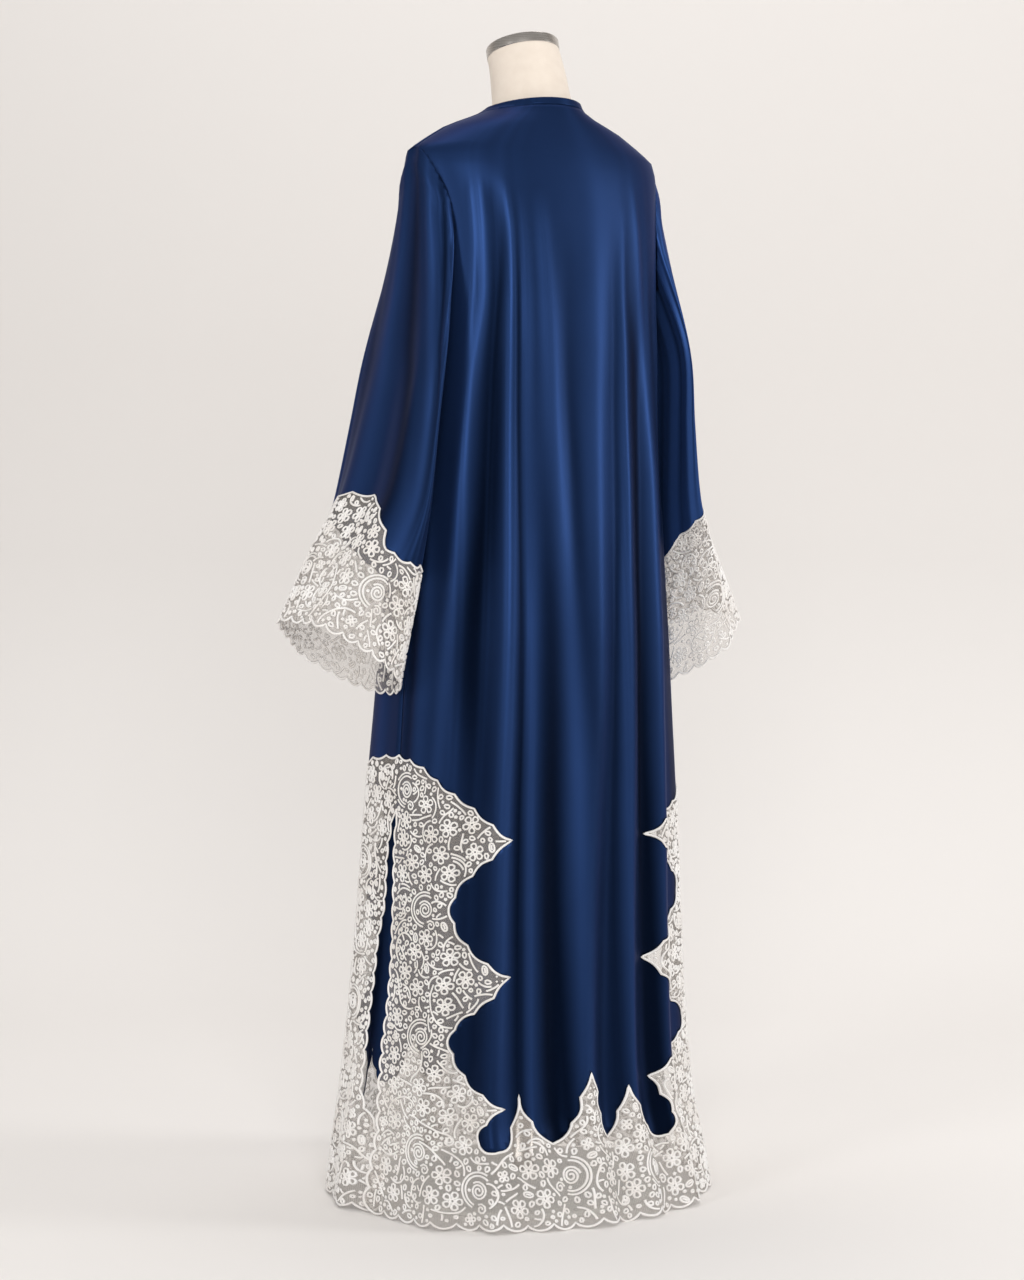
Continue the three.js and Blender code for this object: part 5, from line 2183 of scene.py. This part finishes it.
@dataclass
class DressForm:
    """The limbless form: its covered torso and neck, the neck's cap, and the stand."""

    finishes: Finishes
    columns: int = 96
    cap_radius: float = 47
    cap_height: float = 13
    cap_gap: float = 0.0003
    pole_radius: float = 14
    foot_radius: float = 172
    foot_height: float = 26
    torso_bottom: float = 775
    under_cloth: float = 1.2
    under_shoulder: float = 3.8

    def torso_ring(self, height: float) -> Points:
        """A level ring of the torso, which follows the cloth from inside at the shoulders.

        Args:
            height: Of the ring, in garment millimetres.

        Returns:
            The ring's points, in metres.
        """
        turn = np.linspace(0, 360, self.columns, endpoint=False)
        where = np.full(len(turn), height)
        cosine = np.cos(np.radians(turn))
        depth = np.where(cosine >= 0, TORSO.at("back", where), TORSO.at("front", where))
        own = np.stack([TORSO.at("half_width", where) * np.sin(np.radians(turn)), depth * cosine, where], -1)
        sunk = -CLOTH - self.under_cloth - self.under_shoulder * smoothstep(1366, 1338, where)
        under = BodyDrape().hang((turn + 180) % 360 - 180, where, sunk)
        share = smoothstep(1280, 1336, where)[:, None]
        return in_row_frame(own * (1 - share) + under * share)

    def neck_ring(self, level: NeckRing) -> Points:
        """A tilted ring of the neck.

        Args:
            level: The ring's sizes.

        Returns:
            The ring's points, in metres.
        """
        turn = np.radians(np.linspace(0, 360, self.columns, endpoint=False))
        back = level.half_depth * np.cos(turn)
        tilt = math.radians(level.tilt)
        points = np.stack(
            [level.half_width * np.sin(turn), level.y + back * math.cos(tilt), level.height + back * math.sin(tilt)], -1
        )
        return in_row_frame(points)

    def cover(self) -> bpy.types.Object:
        """The covered torso and neck."""
        heights = [*np.linspace(self.torso_bottom, 1250, 40), *np.linspace(1260, 1378, 24)]
        rings = [self.torso_ring(height) for height in heights] + [self.neck_ring(level) for level in self.neck()]
        piece = piece_of("form_cover", ringed(rings), 50)
        return dress(piece, self.finishes.linen, "linen", "form_torso")

    def neck(self) -> list[NeckRing]:
        """The neck's rings, with more between them."""
        table = Rows(
            "height half_width half_depth y tilt",
            *((r.height, r.half_width, r.half_depth, r.y, r.tilt) for r in NECK),
        )
        heights = np.linspace(NECK[0].height, NECK[-1].height, 14)
        columns = [table.at(name, heights) for name in ("height", "half_width", "half_depth", "y", "tilt")]
        return [NeckRing(*(float(part) for part in row)) for row in zip(*columns)]

    def cap(self) -> bpy.types.Object:
        """The neck's brushed cap, tilted with the neck."""
        r, h = self.cap_radius, self.cap_height
        profile = [(0, 0), (r - 0.6, 0), (r, 0.6), (r, h - 1.6), (r - 0.5, h - 0.5), (r - 1.6, h)]
        profile += [(r - 5, h), (r - 6, h - 0.5), (10, h - 0.5), (0, h - 0.5)]
        bm = spun(profile, 96)
        top = NECK[-1]
        sine, cosine = math.sin(math.radians(top.tilt)), math.cos(math.radians(top.tilt))
        for corner in bm.verts:
            x, y, z = corner.co
            z += self.cap_gap
            corner.co = (x, y * cosine - z * sine, y * sine + z * cosine)
            corner.co += Vector((0, (top.y + STAND_Y) * MM, top.height * MM))
        return dress(piece_of("neck_ring", bm, 30), self.finishes.steel, "steel", "neck_cap")

    def stand(self) -> list[bpy.types.Object]:
        """The foot, the pole and the flange under the torso."""
        r, h, p, bottom = self.foot_radius, self.foot_height, self.pole_radius, self.torso_bottom
        foot = [(0, 0), (r - 1.2, 0), (r, 1.2), (r, 4.6), (r - 1.6, 7.2), (r - 7, 9), (60, 13), (38, 14.5)]
        foot += [(27, 20), (24.5, 24), (22.5, h), (0, h)]
        pole = [(0, h + 0.4), (p - 0.6, h + 0.4), (p, h + 1), (p, bottom - 12.6), (p - 0.6, bottom - 12)]
        pole += [(0, bottom - 12)]
        flange = [(0, bottom - 11.6), (43, bottom - 11.6), (44, bottom - 10.6), (44, bottom - 4), (40, bottom - 0.4)]
        flange += [(0, bottom - 0.4)]
        return [
            dress(piece_of("foot", spun(foot, 96), 30), self.finishes.enamel, "enamel", "stand_foot"),
            dress(piece_of("pole", spun(pole, 40), 30), self.finishes.steel, "steel", "stand_pole"),
            dress(piece_of("flange", spun(flange, 64), 30), self.finishes.steel, "steel", "stand_flange"),
        ]

    def build(self) -> list[bpy.types.Object]:
        """Makes and dresses the form."""
        return [self.cover(), self.cap(), *self.stand()]


# ---- Studio ----


@dataclass(frozen=True)
class Lamp:
    """A soft area light that points at a place."""

    name: str
    place: tuple[float, float, float]
    target: tuple[float, float, float]
    size: tuple[float, float]
    power: float

    def make(self) -> None:
        """Adds the light."""
        data = bpy.data.lights.new(self.name, "AREA")
        data.shape = "RECTANGLE"
        data.size, data.size_y = self.size
        data.energy = self.power
        lamp = bpy.data.objects.new(self.name, data)
        lamp.location = self.place
        lamp.rotation_mode = "QUATERNION"
        lamp.rotation_quaternion = (Vector(self.target) - Vector(self.place)).to_track_quat("-Z", "Y")
        bpy.context.scene.collection.objects.link(lamp)


@dataclass
class Studio:
    """The pale sweep, the lights and the camera."""

    azimuth: float = 33.046
    distance: float = 3.543
    height: float = 0.8824
    yaw: float = -0.395
    pitch: float = 1.522
    lens: float = 77.52
    shift: float = -60 / 1280
    # The backdrop's colour, and the floor's, which is painted lighter than the same paper on the backdrop as painted
    # light.
    paper: tuple[float, float, float] = (0.765, 0.735, 0.71)
    floor: tuple[float, float, float] = (0.885, 0.855, 0.83)

    def camera(self) -> None:
        """Sets the camera behind the garment and to the wearer's left."""
        data = bpy.data.cameras.new("camera")
        data.sensor_width = 36
        data.lens = self.lens
        data.shift_y = self.shift
        camera = bpy.data.objects.new("camera", data)
        turn = math.radians(self.azimuth)
        camera.location = (self.distance * math.sin(turn), STAND_Y * MM + self.distance * math.cos(turn), self.height)
        look, down = math.radians(self.azimuth + self.yaw), math.radians(self.pitch)
        ahead = -Vector((math.sin(look) * math.cos(down), math.cos(look) * math.cos(down), math.sin(down)))
        camera.rotation_mode = "QUATERNION"
        camera.rotation_quaternion = ahead.to_track_quat("-Z", "Y")
        bpy.context.scene.collection.objects.link(camera)
        bpy.context.scene.camera = camera

    def sweep(self) -> None:
        """The paper floor that curves up into the backdrop, away from the camera."""
        bm = bmesh.new()
        start = radius = 1.2
        bend = [math.radians(angle) for angle in range(10, 91, 10)]
        depths = [-6.0, -1.0, start, *(start + radius * math.sin(angle) for angle in bend)]
        heights = [0.0, 0.0, 0.0, *(radius - radius * math.cos(angle) for angle in bend)]
        depths += [2.4, 2.4]
        heights += [2.5, 7.0]
        corners = [bm.verts.new((-8, d, h)) for d, h in zip(depths, heights)]
        edges = [bm.edges.new(pair) for pair in zip(corners[:-1], corners[1:])]
        made = bmesh.ops.extrude_edge_only(bm, edges=edges)["geom"]
        bmesh.ops.translate(bm, verts=[item for item in made if isinstance(item, bmesh.types.BMVert)], vec=(16, 0, 0))
        turn = math.radians(self.azimuth)
        for corner in bm.verts:
            x, d = corner.co.x, corner.co.y
            corner.co.x = x * math.cos(turn) - d * math.sin(turn)
            corner.co.y = -x * math.sin(turn) - d * math.cos(turn)
        bmesh.ops.recalc_face_normals(bm, faces=bm.faces)
        sweep = piece_of("paper_sweep", bm, 60)
        material, nodes, shader = new_material("paper")
        where = nodes.add("ShaderNodeTexCoord").outputs["Object"]
        parts = nodes.add("ShaderNodeSeparateXYZ")
        nodes.join(where, parts.inputs["Vector"])
        # Painted light: the colour goes from the lighter floor at the bottom to the backdrop's up the sweep.
        height = nodes.sums("ADD", parts.outputs["Z"], nodes.sums("MULTIPLY", nodes.noise(where, 3, 2), 0.06))
        nodes.join(nodes.ramp(height, self.floor, self.paper, (0.0, 0.8)), shader.inputs["Base Color"])
        shader.inputs["Roughness"].default_value = 0.9
        shader.inputs["Specular IOR Level"].default_value = 0.1
        sweep.data.materials.append(material)
        sweep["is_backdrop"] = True

    def lights(self) -> None:
        """Broad soft lights, two weak ones that lift the shade inside the hem, and a pale world."""
        world = bpy.data.worlds.new("room")
        world.use_nodes = True
        back = world.node_tree.nodes["Background"]
        back.inputs["Color"].default_value = (1, 0.985, 0.97, 1)
        back.inputs["Strength"].default_value = 0.40
        bpy.context.scene.world = world
        for lamp in (
            Lamp("front", (2.0, 3.5, 2.3), (0, 0, 0.8), (1.8, 1.8), 80),
            Lamp("right", (-2.9, 2.2, 1.9), (0, 0, 0.9), (0.9, 2.0), 42),
            Lamp("left", (3.7, 1.0, 1.9), (0, 0, 0.9), (0.8, 2.0), 26),
            Lamp("paper", (-0.4, -0.6, 3.9), (-1.1, -1.7, 0.7), (3.2, 1.6), 40),
            Lamp("under_left", (0.13, 0.02, 0.034), (0.15, 0.02, 1.0), (0.06, 0.2), 0.09),
            Lamp("under_right", (-0.13, 0.02, 0.034), (-0.15, 0.02, 1.0), (0.06, 0.2), 0.09),
        ):
            lamp.make()

    def build(self) -> None:
        """Sets up the studio."""
        scene = bpy.context.scene
        scene.view_settings.view_transform = "Standard"
        self.camera()
        self.sweep()
        self.lights()


def corners(box: tuple[Vector, Vector]) -> list[list[float]]:
    """A box as plain numbers."""
    return [[float(part) for part in corner] for corner in box]


def main() -> None:
    """Loads the frame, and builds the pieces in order."""
    logging.basicConfig(level=logging.INFO, format="%(name)s: %(message)s")
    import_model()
    cad_box = corners(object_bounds())
    studio = Studio()
    studio.build()
    finishes = Finishes.make()
    DressForm(finishes).build()
    SatinBody(finishes).build()
    for border in body_lace(finishes):
        border.build()
    Sleeve(Side.LEFT, 0, finishes).build()
    Sleeve(Side.RIGHT, 116, finishes).build()
    {"cad": cad_box, "visual": corners(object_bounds())}


if __name__ == "__main__":
    main()
